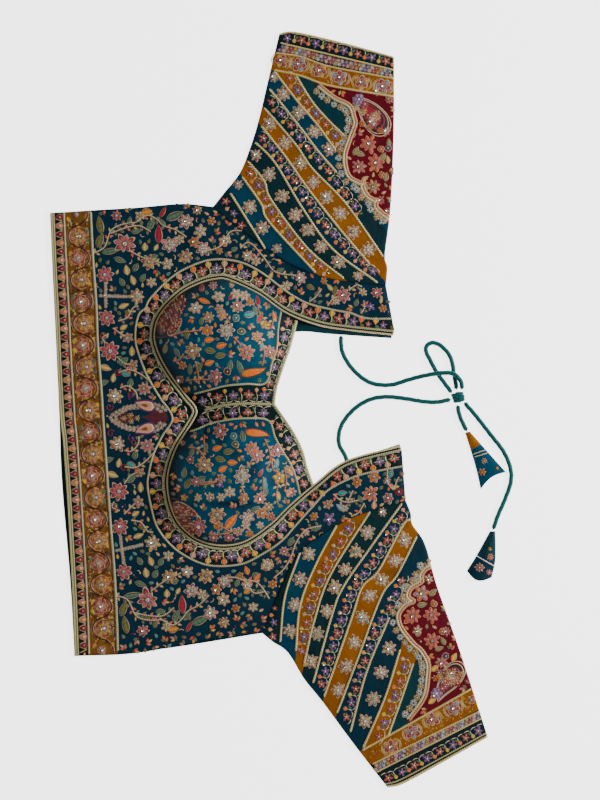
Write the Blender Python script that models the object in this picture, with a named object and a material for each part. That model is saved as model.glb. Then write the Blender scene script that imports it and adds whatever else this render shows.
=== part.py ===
"""Choli blouse, laid flat with its front up.

The blouse lies on the plane z = 0.  Its hem points to -X, its shoulders to +X, and the wearer's
right sleeve to +Y.  The origin is the bottom centre of the garment.  Tables are in millimetres.
"""
import math
from collections import namedtuple

import bpy
import numpy as np

MM = 0.001

# ---- driving sizes, in millimetres -----------------------------------------------------------
CLOTH = 1.5               # embroidered satin with its lining, one layer
SEAM_GAP = 0.3            # between two pieces at a seam
HAIR = 0.1                # spare height under what lies on another piece
PADDING = 2.6             # thickness of a padded cup
CUP_HEIGHT = 34.0         # how far a cup stands out of the front panel
CUP_SHOULDER = 52.0       # width over which a cup rises from its sewn edge
CUP_SLOPE = 62.0          # width over which it falls to its top edge and to the centre seam
CUP_EDGE_RISE = 0.38      # height left at the top edge, as a share of the cup's height
CENTRE_RISE = 0.30        # the same for the seam between the cups
CUP_RIM = 5.6             # height of the cups' sewn edge above the surface
CUP_GAP = 0.2             # half the gap between the cups at their seam
CUP_ROWS = 15             # sections of a cup from its sewn edge to its top edge
TOP_EDGE_SHARE = 0.58     # share of a cup's columns that end on its top edge
FRONT_LIFT = 3.0          # how far the cups lift the front panel along the neckline
LIFT_LEAD = 1.4           # sections before a cup's end where that lift starts
LIFT_RAMP = 2.4           # sections over which it is reached
SLEEVE_PUFF = 2.6         # slack between a sleeve's two layers, at its middle
SLEEVE_WIDTH = 165.0      # a flat sleeve's mean width
FOLD_TURN = 1.2           # how far in from a sleeve's folded edges its layers round off
FOLD_ROUND = 1.0          # height of that rounding
PIPING_WIDTH = 2.3        # half widths and half heights of the corded pipings
PIPING_HEIGHT = 1.7
EDGE_PIPING_WIDTH = 1.7
EDGE_PIPING_HEIGHT = 1.5
EDGE_PIPING_DROP = 1.0    # how far the cups' edge piping hangs below their rim
EDGE_PIPING_ENDS = (2.5, 1.2)             # what it stops short at the neckline and the centre
BINDING = 7.0             # width of the binding round the back neck
DORI = 4.8                # diameter of the rolled ties
LATKAN = 4.6              # thickness of a folded latkan
LATKAN_EDGE = 1.2         # its thickness at its side edges

FRONT_BASE = CLOTH + SEAM_GAP             # underside of the front panel
PANEL_TOP = FRONT_BASE + CLOTH            # its upper side, where it lies flat
NECK_INSET = PIPING_WIDTH + SEAM_GAP      # from the piping's centre line to each panel's edge
ARMHOLE_COLUMNS = 14                      # sections of each panel along an armhole

# ---- tables ----------------------------------------------------------------------------------
# Sections of the front panel, from the right shoulder round the hem to the left shoulder.
# Each joins a point of the neckline to a point of the outer edge; a corner breaks that edge.
Section = namedtuple("Section", "place neck_x neck_y edge_x edge_y corner")
FRONT_SECTIONS = [Section(*row) for row in (
    ("right shoulder",    131.5,   80.0,  123.0,  129.5, True),
    ("right strap",        80.0,   85.5,   80.0,  134.5, False),
    ("right strap root",   51.5,   90.5,   49.5,  141.0, False),
    ("right cup end",      19.0,  103.0,   16.0,  156.0, False),
    ("right armhole",     -10.0,  123.0,  -19.5,  181.0, False),
    ("right armhole low", -41.5,  137.5,  -44.5,  200.0, False),
    ("right armpit",      -56.0,  138.5,  -58.5,  212.5, True),
    ("right side high",   -74.5,  133.5,  -92.0,  215.5, False),
    ("right side",        -95.0,  122.0, -145.5,  211.0, False),
    ("right hem corner", -115.0,  100.5, -229.5,  206.0, True),
    ("right hem",        -121.5,   81.0, -227.0,  145.0, False),
    ("right hem mid",    -119.0,   63.0, -224.0,   85.0, False),
    ("right hem low",    -107.5,   40.0, -221.5,   30.0, False),
    ("right of point",    -88.0,   13.0, -220.0,    5.0, False),
    ("point, right",      -80.5,    4.5, -219.5,   -3.0, False),
    ("centre point",      -77.5,   -2.5, -219.0,  -11.5, False),
    ("point, left",       -80.5,  -10.0, -218.0,  -20.0, False),
    ("left of point",     -87.0,  -20.5, -216.5,  -32.0, False),
    ("left hem low",      -99.5,  -41.5, -214.5,  -58.0, False),
    ("left hem mid",     -107.5,  -68.0, -211.5, -100.0, False),
    ("left hem",         -107.0,  -90.0, -208.5, -155.0, False),
    ("left hem high",    -101.5, -110.0, -205.5, -215.0, False),
    ("left hem corner",   -92.0, -125.0, -204.0, -259.0, True),
    ("left side",         -74.5, -138.5, -140.0, -256.0, False),
    ("left side high",    -50.0, -144.5,  -62.0, -242.0, False),
    ("left armpit",       -24.0, -140.0,   -7.0, -235.0, True),
    ("left armhole low",    3.5, -121.5,   11.0, -191.0, False),
    ("left cup end",       22.0, -103.5,   33.0, -149.0, False),
    ("left strap root",    50.0,  -79.5,   76.0, -119.5, False),
    ("left strap",         82.5,  -56.0,  106.5, -107.0, False),
    ("left shoulder",     139.0,  -40.5,  143.5,  -95.0, True),
)]

# Sections of the back panel, from its deep neckline to the same outer edge.
BACK_SECTIONS = [Section(*row) for row in (
    ("right shoulder",    129.0,   74.5,  123.0,  129.5, True),
    ("right strap",        64.5,   79.0,   80.0,  134.5, False),
    ("right strap root",   33.0,   81.5,   49.5,  141.0, False),
    ("right armhole",      -7.0,   76.0,  -19.5,  181.0, False),
    ("right armpit",      -36.0,   61.0,  -58.5,  212.5, True),
    ("right side",        -49.0,   46.0, -145.5,  211.0, False),
    ("right hem corner",  -58.0,   31.0, -229.5,  206.0, True),
    ("right hem",         -63.5,   15.0, -224.5,  100.0, False),
    ("centre",            -66.0,   -2.0, -220.0,   -5.0, False),
    ("left hem",          -64.0,  -20.0, -217.0,  -78.5, False),
    ("left hem high",     -58.0,  -36.0, -208.5, -180.0, False),
    ("left hem corner",   -50.0,  -49.0, -204.0, -259.0, True),
    ("left side",         -37.0,  -64.0, -115.0, -252.0, False),
    ("left armpit",       -18.0,  -79.0,   -7.0, -235.0, True),
    ("left armhole",        5.0,  -90.0,   33.0, -149.0, False),
    ("left strap root",    46.0,  -87.0,   76.0, -119.5, False),
    ("left strap",         83.0,  -61.5,  106.5, -107.0, False),
    ("left strap high",   108.0,  -46.5,  124.0, -100.5, False),
    ("left shoulder",     137.5,  -36.5,  143.5,  -95.0, True),
)]

# Sections of the sleeves, from the armhole to the cuff: the underarm edge and the top fold.
SleeveSection = namedtuple("SleeveSection", "place under_x under_y top_x top_y")
SLEEVE_SECTIONS = {
    "right": [SleeveSection(*row) for row in (
        ("armhole",  -58.5, 212.5, 123.0, 129.5),
        ("armpit",   -47.0, 227.0, 124.5, 148.5),
        ("cap",      -30.0, 249.0, 122.0, 162.0),
        ("upper",    -18.0, 279.0, 127.0, 202.0),
        ("middle",    -9.5, 308.0, 130.0, 250.0),
        ("lower",     -1.0, 344.0, 131.5, 308.0),
        ("cuff",      11.0, 394.0, 131.5, 370.0),
    )],
    "left": [SleeveSection(*row) for row in (
        ("armhole",   -7.0, -235.0, 143.5,  -95.0),
        ("armpit",     4.0, -244.0, 149.0, -109.0),
        ("cap",       20.0, -255.5, 151.0, -121.0),
        ("upper",     37.0, -283.0, 164.0, -141.5),
        ("middle",    57.0, -308.0, 176.5, -185.0),
        ("lower",     88.0, -350.0, 201.5, -256.0),
        ("cuff",     124.5, -397.0, 230.0, -344.0),
    )],
}
# Points of the cuffs between the underarm edge and the top fold.
CUFFS = {
    "right": [(11.0, 394.0), (28.0, 396.0), (79.0, 384.5), (131.5, 370.0)],
    "left": [(124.5, -397.0), (142.0, -392.5), (188.0, -367.5), (230.0, -344.0)],
}

# The cups: where each one's sewn edge starts on the neckline, the point where both end, and
# their top edges and common seam.
CUP_START = {"right": (16.0, 105.0), "left": (32.0, -96.0)}
CENTRE_POINT = (-77.5, -2.5)
CUP_TOP_EDGE = {
    "right": [(28.0, 94.4), (24.0, 78.6), (19.2, 61.2), (12.8, 43.8), (6.2, 22.5), (3.6, 5.2)],
    "left": [(42.6, -78.6), (38.0, -61.5), (33.6, -44.5), (25.2, -27.0), (13.8, -9.8), (3.6, 4.8)],
}
CENTRE_SEAM = [(3.6, 5.0), (-23.0, 6.0), (-45.0, 4.5), (-58.0, 1.5), (-68.0, -1.0)]

# Soft folds of the cloth: a ridge (height above zero) or a trough along a line.
Fold = namedtuple("Fold", "piece x1 y1 x2 y2 height width")
FOLDS = [Fold(*row) for row in (
    ("cup_right",    -90.0,  113.0,  -20.0,  107.0, -2.4,  6.0),
    ("cup_left",     -70.0, -103.0,  -10.0,  -99.0, -2.8,  5.5),
    ("sleeve_right", 104.0,  154.0,  125.0,  149.0, -1.2,  5.0),
    ("sleeve_right", -50.0,  222.0,  -14.0,  196.0,  1.0,  6.0),
    ("sleeve_left",  108.0, -178.0,  140.0, -170.0, -1.2,  6.0),
    ("sleeve_left",  148.0, -112.0,  128.0, -140.0,  1.0,  5.0),
    ("sleeve_left",    2.0, -238.0,   24.0, -180.0,  1.0,  6.0),
    ("front_body",   -62.0,  205.0,  -80.0,  160.0,  1.5,  9.0),
    ("front_body",   -20.0, -225.0,  -48.0, -178.0,  1.5,  9.0),
    ("front_body",  -205.0,  -20.0, -130.0,  -10.0,  1.6, 22.0),
)]

# The ties: the points of each stretch, from the garment or from the knot outwards.
KNOT_PLACE = (198.9, 12.6, 4.5)
KNOT_SIZE = (7.2, 7.4, 4.4)
LOW = DORI / 2 + 0.05
DORI_ROUTES = {
    "dori_right": [
        (75.5, 77.8, LOW), (77.4, 59.5, LOW), (88.8, 41.2, LOW), (106.4, 28.0, LOW),
        (127.3, 25.5, LOW), (146.2, 30.8, 3.2), (160.0, 34.5, 5.4), (173.0, 37.0, 7.7),
        (184.0, 38.2, 7.7), (193.5, 37.2, 7.7), (200.2, 31.5, 7.0), (202.6, 25.0, 6.0),
        (202.6, 20.2, 5.1)],
    "dori_left": [
        (81.0, -51.0, LOW), (73.5, -35.4, LOW), (75.9, -17.6, LOW), (88.5, -0.8, LOW),
        (105.3, 9.8, LOW), (123.1, 13.0, LOW), (143.1, 11.2, LOW), (162.0, 8.1, LOW),
        (177.7, 7.6, LOW), (191.5, 10.6, LOW)],
    "dori_loop": [
        (192.4, 16.8, LOW), (185.5, 26.0, LOW), (176.7, 38.1, LOW), (169.3, 51.7, LOW),
        (164.8, 61.5, LOW), (167.0, 68.0, LOW), (173.5, 69.8, LOW), (180.9, 66.4, LOW),
        (188.8, 58.0, LOW), (192.6, 48.6, LOW), (194.2, 38.1, LOW), (196.2, 27.5, LOW),
        (197.1, 20.2, LOW)],
    "dori_end_right": [
        (197.9, 4.8, LOW), (200.8, -8.1, LOW), (208.0, -23.4, LOW)],
    "dori_end_left": [
        (204.8, 7.6, LOW), (216.6, -6.0, LOW), (232.3, -26.0, LOW), (246.0, -43.8, LOW),
        (253.3, -60.6, LOW), (254.0, -76.4, LOW), (247.6, -95.3, LOW), (240.7, -111.0, LOW),
        (235.4, -126.6, LOW)],
}
DORI_STEP = 11.0          # distance between two points of a tie
LOOP_STEP = 7.5           # the same in the bow's narrow loop

# The latkans: left and right edges from the tie down, and the belly of the lower edge.
LatkanRow = namedtuple("LatkanRow", "left_x left_y right_x right_y")
LATKANS = {
    "latkan_right": ([LatkanRow(*row) for row in (
        (206.0, -24.6, 211.0, -23.2),
        (212.5, -45.0, 224.0, -38.0),
        (218.0, -64.0, 236.0, -51.5),
        (222.5, -84.0, 249.0, -66.0))], -4.0),
    "latkan_left": ([LatkanRow(*row) for row in (
        (232.2, -128.0, 237.8, -128.0),
        (224.0, -143.0, 238.2, -145.0),
        (216.0, -157.0, 237.6, -161.0),
        (208.0, -169.5, 234.0, -176.5))], 7.0),
}

COLOURS = {"teal": (0.012, 0.085, 0.105), "teal_deep": (0.006, 0.045, 0.055),
           "lining": (0.01, 0.05, 0.055), "tie": (0.008, 0.10, 0.105)}


# ---- curves ----------------------------------------------------------------------------------
def smooth_through(points, fractions):
    """Catmull-Rom curve through the points, at fractional point numbers (0 is the first)."""
    points = np.asarray(points, float)
    ends = (2 * points[0] - points[1], 2 * points[-1] - points[-2])
    padded = np.vstack([ends[0], points, ends[1]])
    index = np.clip(np.floor(fractions).astype(int), 0, len(points) - 2)
    part = (fractions - index)[:, None]
    a, b, c, d = (padded[index + k] for k in range(4))
    return 0.5 * (2 * b + (c - a) * part + (2 * a - 5 * b + 4 * c - d) * part ** 2
                  + (3 * b - a - 3 * c + d) * part ** 3)


def lengths(points):
    steps = np.linalg.norm(np.diff(points, axis=0), axis=1)
    return np.concatenate([[0.0], np.cumsum(steps)])


def evenly(points, count):
    """The smooth curve through the points, at count points an equal distance apart."""
    fine = smooth_through(points, np.linspace(0, len(points) - 1, 40 * len(points)))
    run = lengths(fine)
    at = np.linspace(0, run[-1], count)
    return np.stack([np.interp(at, run, fine[:, k]) for k in range(fine.shape[1])], axis=1)


def offset(curve, distance):
    """A flat curve moved sideways, to the left of its direction for a positive distance."""
    along = np.gradient(curve[:, :2], axis=0)
    along /= np.linalg.norm(along, axis=1)[:, None]
    return curve[:, :2] + distance * np.stack([-along[:, 1], along[:, 0]], axis=1)


def armhole_line(side):
    """The armhole seam, sampled once for the front, the back and the sleeve that meet there."""
    places = [row.place for row in FRONT_SECTIONS]
    ends = sorted(places.index(side + end) for end in (" shoulder", " armpit"))
    rows = FRONT_SECTIONS[ends[0]:ends[1] + 1]
    return evenly([(row.edge_x, row.edge_y) for row in rows], ARMHOLE_COLUMNS + 1)


def section_rails(sections, step):
    """Both rails of a panel, point for point; the outer one is broken at its corners."""
    neck = np.array([(row.neck_x, row.neck_y) for row in sections])
    edge = np.array([(row.edge_x, row.edge_y) for row in sections])
    corners = [i for i, row in enumerate(sections) if row.corner]
    fractions, outer = [], []
    for first, last in zip(corners[:-1], corners[1:]):
        ends = {sections[first].place, sections[last].place}
        stretch = edge[first:last + 1]
        side = next((s for s in ("right", "left") if ends == {s + " shoulder", s + " armpit"}), None)
        if side:
            run = lengths(stretch)
            at = np.linspace(0, run[-1], ARMHOLE_COLUMNS + 1)
            local = np.interp(at, run, np.arange(len(run)))
            points = armhole_line(side)
        else:
            spans = np.maximum(np.diff(lengths(neck[first:last + 1])), np.diff(lengths(stretch)))
            counts = np.maximum(1, np.round(spans / step)).astype(int)
            local = np.concatenate([i + np.arange(n) / n for i, n in enumerate(counts)]
                                   + [[len(counts)]])
            points = smooth_through(stretch, local)
        fractions.append((local + first)[:-1])
        outer.append(points[:-1])
    fractions = np.concatenate(fractions + [[corners[-1]]])
    return smooth_through(neck, fractions), np.vstack(outer + [edge[-1:]]), fractions


def fold_height(piece, x, y):
    """Sum of the soft folds on a piece: a bell across each line, faded at its ends."""
    total = np.zeros(np.shape(x))
    for fold in FOLDS:
        if fold.piece != piece:
            continue
        run = np.array([fold.x2 - fold.x1, fold.y2 - fold.y1])
        length = math.hypot(*run)
        along = ((x - fold.x1) * run[0] + (y - fold.y1) * run[1]) / length
        across = ((y - fold.y1) * run[0] - (x - fold.x1) * run[1]) / length
        ends = np.sin(np.pi * np.clip(along / length, 0, 1)) ** 0.7
        total += fold.height * ends * np.exp(-(across / fold.width) ** 2)
    return total


# ---- meshes ----------------------------------------------------------------------------------
def material(name, colour, roughness=0.55, sheen=0.3):
    made = bpy.data.materials.new(name)
    made.use_nodes = True
    shader = made.node_tree.nodes["Principled BSDF"]
    shader.inputs["Base Color"].default_value = (*COLOURS[colour], 1.0)
    shader.inputs["Roughness"].default_value = roughness
    shader.inputs["Metallic"].default_value = 0.0
    shader.inputs["Sheen Weight"].default_value = sheen
    return made


def add_object(name, points, faces, colour, smooth=True):
    mesh = bpy.data.meshes.new(name)
    mesh.from_pydata((np.asarray(points) * MM).tolist(), [], faces)
    mesh.update()
    if smooth:
        mesh.shade_smooth()
        mesh.set_sharp_from_angle(angle=math.radians(50))
    mesh.materials.append(material(name + "_finish", colour))
    made = bpy.data.objects.new(name, mesh)
    bpy.context.scene.collection.objects.link(made)
    return made


def wall(name, top, bottom, colour):
    """A closed wall between two grids of the same size, top above bottom."""
    rows, columns = top.shape[:2]
    count = rows * columns
    number = np.arange(count).reshape(rows, columns)
    a, b = number[:-1, :-1].ravel(), number[1:, :-1].ravel()
    c, d = number[1:, 1:].ravel(), number[:-1, 1:].ravel()
    faces = np.vstack([np.stack([a, b, c, d], axis=1), count + np.stack([a, d, c, b], axis=1)])
    rim = np.concatenate([number[0, :-1], number[:-1, -1], number[-1, :0:-1], number[:0:-1, 0]])
    onward = np.roll(rim, -1)
    faces = np.vstack([faces, np.stack([rim, onward, onward + count, rim + count], axis=1)])
    if np.cross(np.gradient(top, axis=0), np.gradient(top, axis=1))[..., 2].sum() < 0:
        faces = faces[:, ::-1]
    points = np.concatenate([top.reshape(-1, 3), bottom.reshape(-1, 3)])
    return add_object(name, points, faces.tolist(), colour)


def tube(name, path, half_width, half_height, colour, sides=8):
    """A closed oval tube along a path that runs nearly level."""
    along = np.gradient(path[:, :2], axis=0)
    along /= np.linalg.norm(along, axis=1)[:, None]
    left = np.stack([-along[:, 1], along[:, 0], np.zeros(len(path))], axis=1)
    turn = np.linspace(0, 2 * np.pi, sides, endpoint=False)
    up = np.array([0.0, 0.0, 1.0])
    ring = (half_width * np.cos(turn)[None, :, None] * left[:, None, :]
            + half_height * np.sin(turn)[None, :, None] * up)
    points = (path[:, None, :] + ring).reshape(-1, 3)
    faces = []
    for i in range(len(path) - 1):
        for j in range(sides):
            k = (j + 1) % sides
            faces.append((i * sides + j, i * sides + k, (i + 1) * sides + k, (i + 1) * sides + j))
    last = (len(path) - 1) * sides
    faces.append(tuple(range(sides))[::-1])
    faces.append(tuple(range(last, last + sides)))
    return add_object(name, points, faces, colour)


def grid_between(inner, outer, shares):
    """Straight sections between two rails, cut at the given shares of their length."""
    shares = np.asarray(shares)[:, None, None]
    return inner[None] * (1 - shares) + outer[None] * shares


# ---- the pieces ------------------------------------------------------------------------------
def neck_curve(step=14.0):
    """Centre line of the neck piping, and how far the cups lift each of its points."""
    neck, _, fractions = section_rails(FRONT_SECTIONS, step)
    places = [row.place for row in FRONT_SECTIONS]
    first, last = places.index("right cup end"), places.index("left cup end")
    into = np.minimum(fractions - first, last - fractions) + LIFT_LEAD
    lift = FRONT_LIFT * np.clip(into / LIFT_RAMP, 0, 1) ** 1.2
    return neck, lift


def lift_at(sections_neck, neck, lift):
    """The lift of the nearest point of the neck curve."""
    distance = np.linalg.norm(sections_neck[:, None] - neck[None], axis=2)
    return lift[distance.argmin(axis=1)]


def make_front():
    neck, edge, _ = section_rails(FRONT_SECTIONS, 16.0)
    curve, lift = neck_curve()
    inner = offset(neck, -NECK_INSET)
    shares = np.linspace(0, 1, 10) ** 1.25
    flat = grid_between(inner, edge, shares)
    rise = lift_at(neck, curve, lift)[None] * (1 - shares[:, None]) ** 2
    under = FRONT_BASE + rise + fold_height("front_body", flat[..., 0], flat[..., 1]) \
        * np.sin(np.pi * shares[:, None])
    bottom = np.dstack([flat, under])
    top = np.dstack([flat, under + CLOTH])
    wall("front_body", top, bottom, "teal")


def make_back():
    neck, edge, _ = section_rails(BACK_SECTIONS, 20.0)
    strip_edge = offset(neck, -BINDING)
    panel_edge = offset(neck, -(BINDING + SEAM_GAP))
    for name, inner, outer, rows, colour in (
            ("back_neck_binding", neck, strip_edge, 2, "teal_deep"),
            ("back_body", panel_edge, edge, 7, "lining")):
        flat = grid_between(inner, outer, np.linspace(0, 1, rows))
        level = np.zeros(flat.shape[:2])
        wall(name, np.dstack([flat, level + CLOTH]), np.dstack([flat, level]), colour)


def make_neck_piping():
    neck, lift = neck_curve()
    height = FRONT_BASE + PIPING_HEIGHT + HAIR + lift
    tube("neck_piping", np.column_stack([neck, height]), PIPING_WIDTH, PIPING_HEIGHT, "teal")


def cup_rails(side):
    """The sewn edge of a cup, and its top edge followed by the centre seam."""
    neck, _ = neck_curve()
    toward_cup = 1 if side == "right" else -1
    beside = offset(neck, NECK_INSET + 0.05)
    start, end = (np.linalg.norm(neck - np.array(place), axis=1).argmin()
                  for place in (CUP_START[side], CENTRE_POINT))
    base = beside[start:end + 1] if side == "right" else beside[end:start + 1][::-1]
    apart = np.array([0.0, toward_cup * CUP_GAP])
    base = np.vstack([base[:-1], base[-1:] + apart])
    notch = int(round(len(base) * TOP_EDGE_SHARE))
    top = evenly(CUP_TOP_EDGE[side], notch)
    seam = evenly(CENTRE_SEAM, len(base) - notch + 1) + apart
    return base, np.vstack([top[:-1], seam]), notch


def distance_to(line, points):
    """Distance from each point of a grid to the nearest stretch of a line."""
    run = np.diff(line, axis=0)
    away = points[:, :, None] - line[:-1]
    share = np.clip((away * run).sum(axis=3) / (run ** 2).sum(axis=1), 0, 1)
    return np.linalg.norm(away - share[..., None] * run, axis=3).min(axis=2)


def fall_to(distance, share):
    """Rises from a share at an edge to 1 a full slope away from it, as a quarter wave."""
    return share + (1 - share) * np.sin(np.clip(distance / CUP_SLOPE, 0, 1) * np.pi / 2) ** 1.15


def cup_surface(side):
    """Outer surface of a cup and its normals: steep at the sewn edge, gentle to the top edge."""
    base, top_edge, notch = cup_rails(side)
    flat = grid_between(base, top_edge, np.linspace(0, 1, CUP_ROWS) ** 1.35)
    number = np.arange(len(base))
    along_top = np.clip(number / (notch - 1), 0, 1)
    along_seam = np.clip((number - notch + 1) / (len(base) - notch), 0, 1)
    top_share = CUP_EDGE_RISE * np.sin(np.pi / 2 * np.clip(1.5 * along_top, 0, 1))
    seam_share = CENTRE_RISE * np.cos(np.pi / 2 * along_seam) ** 0.6
    sewn = np.vstack([top_edge[:1], base, top_edge[-1:]])

    def height(plan):
        near_base = np.clip(distance_to(sewn, plan) / CUP_SHOULDER, 0, 1)
        dome = CUP_HEIGHT * (1 - (1 - near_base) ** 2.2) ** 0.7
        dome = dome * fall_to(distance_to(top_edge[:notch], plan), top_share[None])
        dome = dome * fall_to(distance_to(top_edge[notch - 1:], plan), seam_share[None])
        return CUP_RIM + dome + fold_height("cup_" + side, plan[..., 0], plan[..., 1])

    level = height(flat)
    reach = 0.05
    slopes = [(height(flat + reach * step) - height(flat - reach * step)) / (2 * reach)
              for step in np.eye(2)]
    normals = np.dstack([-slopes[0], -slopes[1], np.ones(level.shape)])
    normals /= np.linalg.norm(normals, axis=2)[..., None]
    normals[0] = normals[1]
    normals[:, 0], normals[:, -1] = normals[:, 1], normals[:, -2]
    return np.dstack([flat, level]), normals


def make_cup(side):
    top, normals = cup_surface(side)
    bottom = top - PADDING * normals
    bottom[..., 2] = np.maximum(bottom[..., 2], FRONT_BASE + HAIR)
    wall("cup_" + side, top, bottom, "teal")
    notch = cup_rails(side)[2]
    rim = top[-1, :notch]
    outward = 1 if side == "right" else -1
    reach = EDGE_PIPING_WIDTH + SEAM_GAP
    path = np.column_stack([offset(rim, outward * reach), rim[:, 2] - EDGE_PIPING_DROP])
    run = lengths(path)
    at = np.linspace(EDGE_PIPING_ENDS[0], run[-1] - EDGE_PIPING_ENDS[1], notch)
    path = np.stack([np.interp(at, run, path[:, k]) for k in range(3)], axis=1)
    tube("cup_piping_" + side, path, EDGE_PIPING_WIDTH, EDGE_PIPING_HEIGHT, "teal")


def sleeve_flat(side, around, along):
    """Plan of a sleeve: the surface spanned by its armhole, cuff, underarm edge and top fold."""
    rows = SLEEVE_SECTIONS[side]
    cap = armhole_line(side)
    if side == "right":
        cap = offset(cap[::-1], SEAM_GAP)
    else:
        cap = offset(cap, -SEAM_GAP)
    run = np.linspace(0, 1, len(cap))
    cap = np.stack([np.interp(around, run, cap[:, k]) for k in range(2)], axis=1)
    cuff = evenly(CUFFS[side], 60)
    cuff = np.stack([np.interp(around, np.linspace(0, 1, 60), cuff[:, k]) for k in range(2)], axis=1)
    station = along * (len(rows) - 1)
    under = smooth_through([(row.under_x, row.under_y) for row in rows], station)
    top = smooth_through([(row.top_x, row.top_y) for row in rows], station)
    under += (cap[0] - under[0]) * (1 - along[:, None]) ** 6
    top += (cap[-1] - top[0]) * (1 - along[:, None]) ** 6
    s, t = around[None, :, None], along[:, None, None]
    corners = ((1 - s) * (1 - t) * cap[0] + s * (1 - t) * cap[-1]
               + (1 - s) * t * cuff[0] + s * t * cuff[-1])
    return (1 - t) * cap[None] + t * cuff[None] + (1 - s) * under[:, None] + s * top[:, None] - corners


def make_sleeve(side):
    """A flattened tube: outer ring and inner ring at each section, open at both ends."""
    along = np.linspace(0, 1, 12)
    turn_in = FOLD_TURN / SLEEVE_WIDTH
    wall_in = CLOTH / SLEEVE_WIDTH
    middle = np.linspace(0, 1, ARMHOLE_COLUMNS + 1)[1:-1]
    inner_line = np.concatenate([[wall_in], middle, [1 - wall_in]])
    outer_line = np.concatenate([[0, turn_in], middle, [1 - turn_in, 1]])

    def upper_height(plan, line):
        slack = SLEEVE_PUFF * np.sin(np.pi * np.clip(line, 0, 1))[None] ** 0.8
        slack = slack * np.sin(np.pi * (0.12 + 0.76 * along))[:, None]
        slack = slack + fold_height("sleeve_" + side, plan[..., 0], plan[..., 1])
        return PANEL_TOP + np.clip(slack, 0, SLEEVE_PUFF + 0.6)

    outer = sleeve_flat(side, outer_line, along)
    inner = sleeve_flat(side, inner_line, along)
    high = upper_height(outer, outer_line)
    low = np.zeros_like(high)
    for fold in (0, -1):
        high[:, fold] -= FOLD_ROUND
        low[:, fold] += FOLD_ROUND
    outer_ring = np.concatenate([np.dstack([outer, low]), np.dstack([outer, high])[:, ::-1]], axis=1)
    inner_high = upper_height(inner, inner_line) - CLOTH
    inner_low = np.full_like(inner_high, CLOTH)
    inner_ring = np.concatenate(
        [np.dstack([inner, inner_low]), np.dstack([inner, inner_high])[:, ::-1]], axis=1)

    stations, outer_count = outer_ring.shape[:2]
    inner_count = inner_ring.shape[1]
    start = stations * outer_count
    faces = []
    for i in range(stations - 1):
        for j in range(outer_count):
            k = (j + 1) % outer_count
            a, b = i * outer_count, (i + 1) * outer_count
            faces.append((a + j, b + j, b + k, a + k))
        for j in range(inner_count):
            k = (j + 1) % inner_count
            a, b = start + i * inner_count, start + (i + 1) * inner_count
            faces.append((a + j, a + k, b + k, b + j))
    for i, flip in ((0, 1), (stations - 1, -1)):
        faces += end_ring(i * outer_count, outer_count, start + i * inner_count, inner_count, flip)
    if side == "left":
        faces = [face[::-1] for face in faces]
    points = np.concatenate([outer_ring.reshape(-1, 3), inner_ring.reshape(-1, 3)])
    add_object("sleeve_" + side, points, faces, "teal")


def end_ring(outer_start, outer_count, inner_start, inner_count, flip):
    """The cut edge of a sleeve: a flat ring between its outer and its inner outline."""
    half_outer, half_inner = outer_count // 2, inner_count // 2
    faces = []
    for part in range(2):
        outer = [outer_start + part * half_outer + n for n in range(half_outer)]
        inner = [inner_start + part * half_inner + n for n in range(half_inner)]
        trimmed = outer[1:-1]
        for n in range(half_inner - 1):
            faces.append((trimmed[n], trimmed[n + 1], inner[n + 1], inner[n]))
        faces.append((outer[0], trimmed[0], inner[0]))
        faces.append((trimmed[-1], outer[-1], inner[-1]))
        outer_next = outer_start + ((part + 1) % 2) * half_outer
        inner_next = inner_start + ((part + 1) % 2) * half_inner
        faces.append((outer[-1], outer_next, inner_next, inner[-1]))
    return [face[::flip] for face in faces]


def make_dori(name, route):
    """A rolled tie: a round bevel along a smooth curve through its route."""
    fine = evenly(route, 200)
    step = LOOP_STEP if name == "dori_loop" else DORI_STEP
    count = max(4, int(round(lengths(fine)[-1] / step)) + 1)
    points = evenly(route, count) * MM
    curve = bpy.data.curves.new(name, "CURVE")
    curve.dimensions = "3D"
    curve.bevel_depth = DORI / 2 * MM
    curve.bevel_resolution = 2
    curve.use_fill_caps = True
    spline = curve.splines.new("POLY")
    spline.points.add(len(points) - 1)
    spline.points.foreach_set("co", np.column_stack([points, np.ones(len(points))]).ravel())
    curve.materials.append(material(name + "_finish", "tie", roughness=0.45))
    made = bpy.data.objects.new(name, curve)
    bpy.context.scene.collection.objects.link(made)


def make_knot():
    """The knot of the half bow: a rounded lump as long as three turns of the tie."""
    rings, sides = 8, 14
    polar = np.linspace(0, np.pi, rings + 1)[1:-1, None]
    turn = np.linspace(0, 2 * np.pi, sides, endpoint=False)[None]
    size, place = np.array(KNOT_SIZE), np.array(KNOT_PLACE)
    body = np.dstack([np.sin(polar) * np.cos(turn), np.sin(polar) * np.sin(turn),
                      np.cos(polar) + 0 * turn]).reshape(-1, 3)
    points = np.vstack([body, [[0, 0, 1]], [[0, 0, -1]]]) * size + place
    faces = []
    for j in range(sides):
        k = (j + 1) % sides
        for i in range(rings - 2):
            faces.append((i * sides + j, (i + 1) * sides + j, (i + 1) * sides + k, i * sides + k))
        faces.append((len(points) - 2, j, k))
        last = (rings - 2) * sides
        faces.append((len(points) - 1, last + k, last + j))
    add_object("dori_knot", points, faces, "tie")


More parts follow.
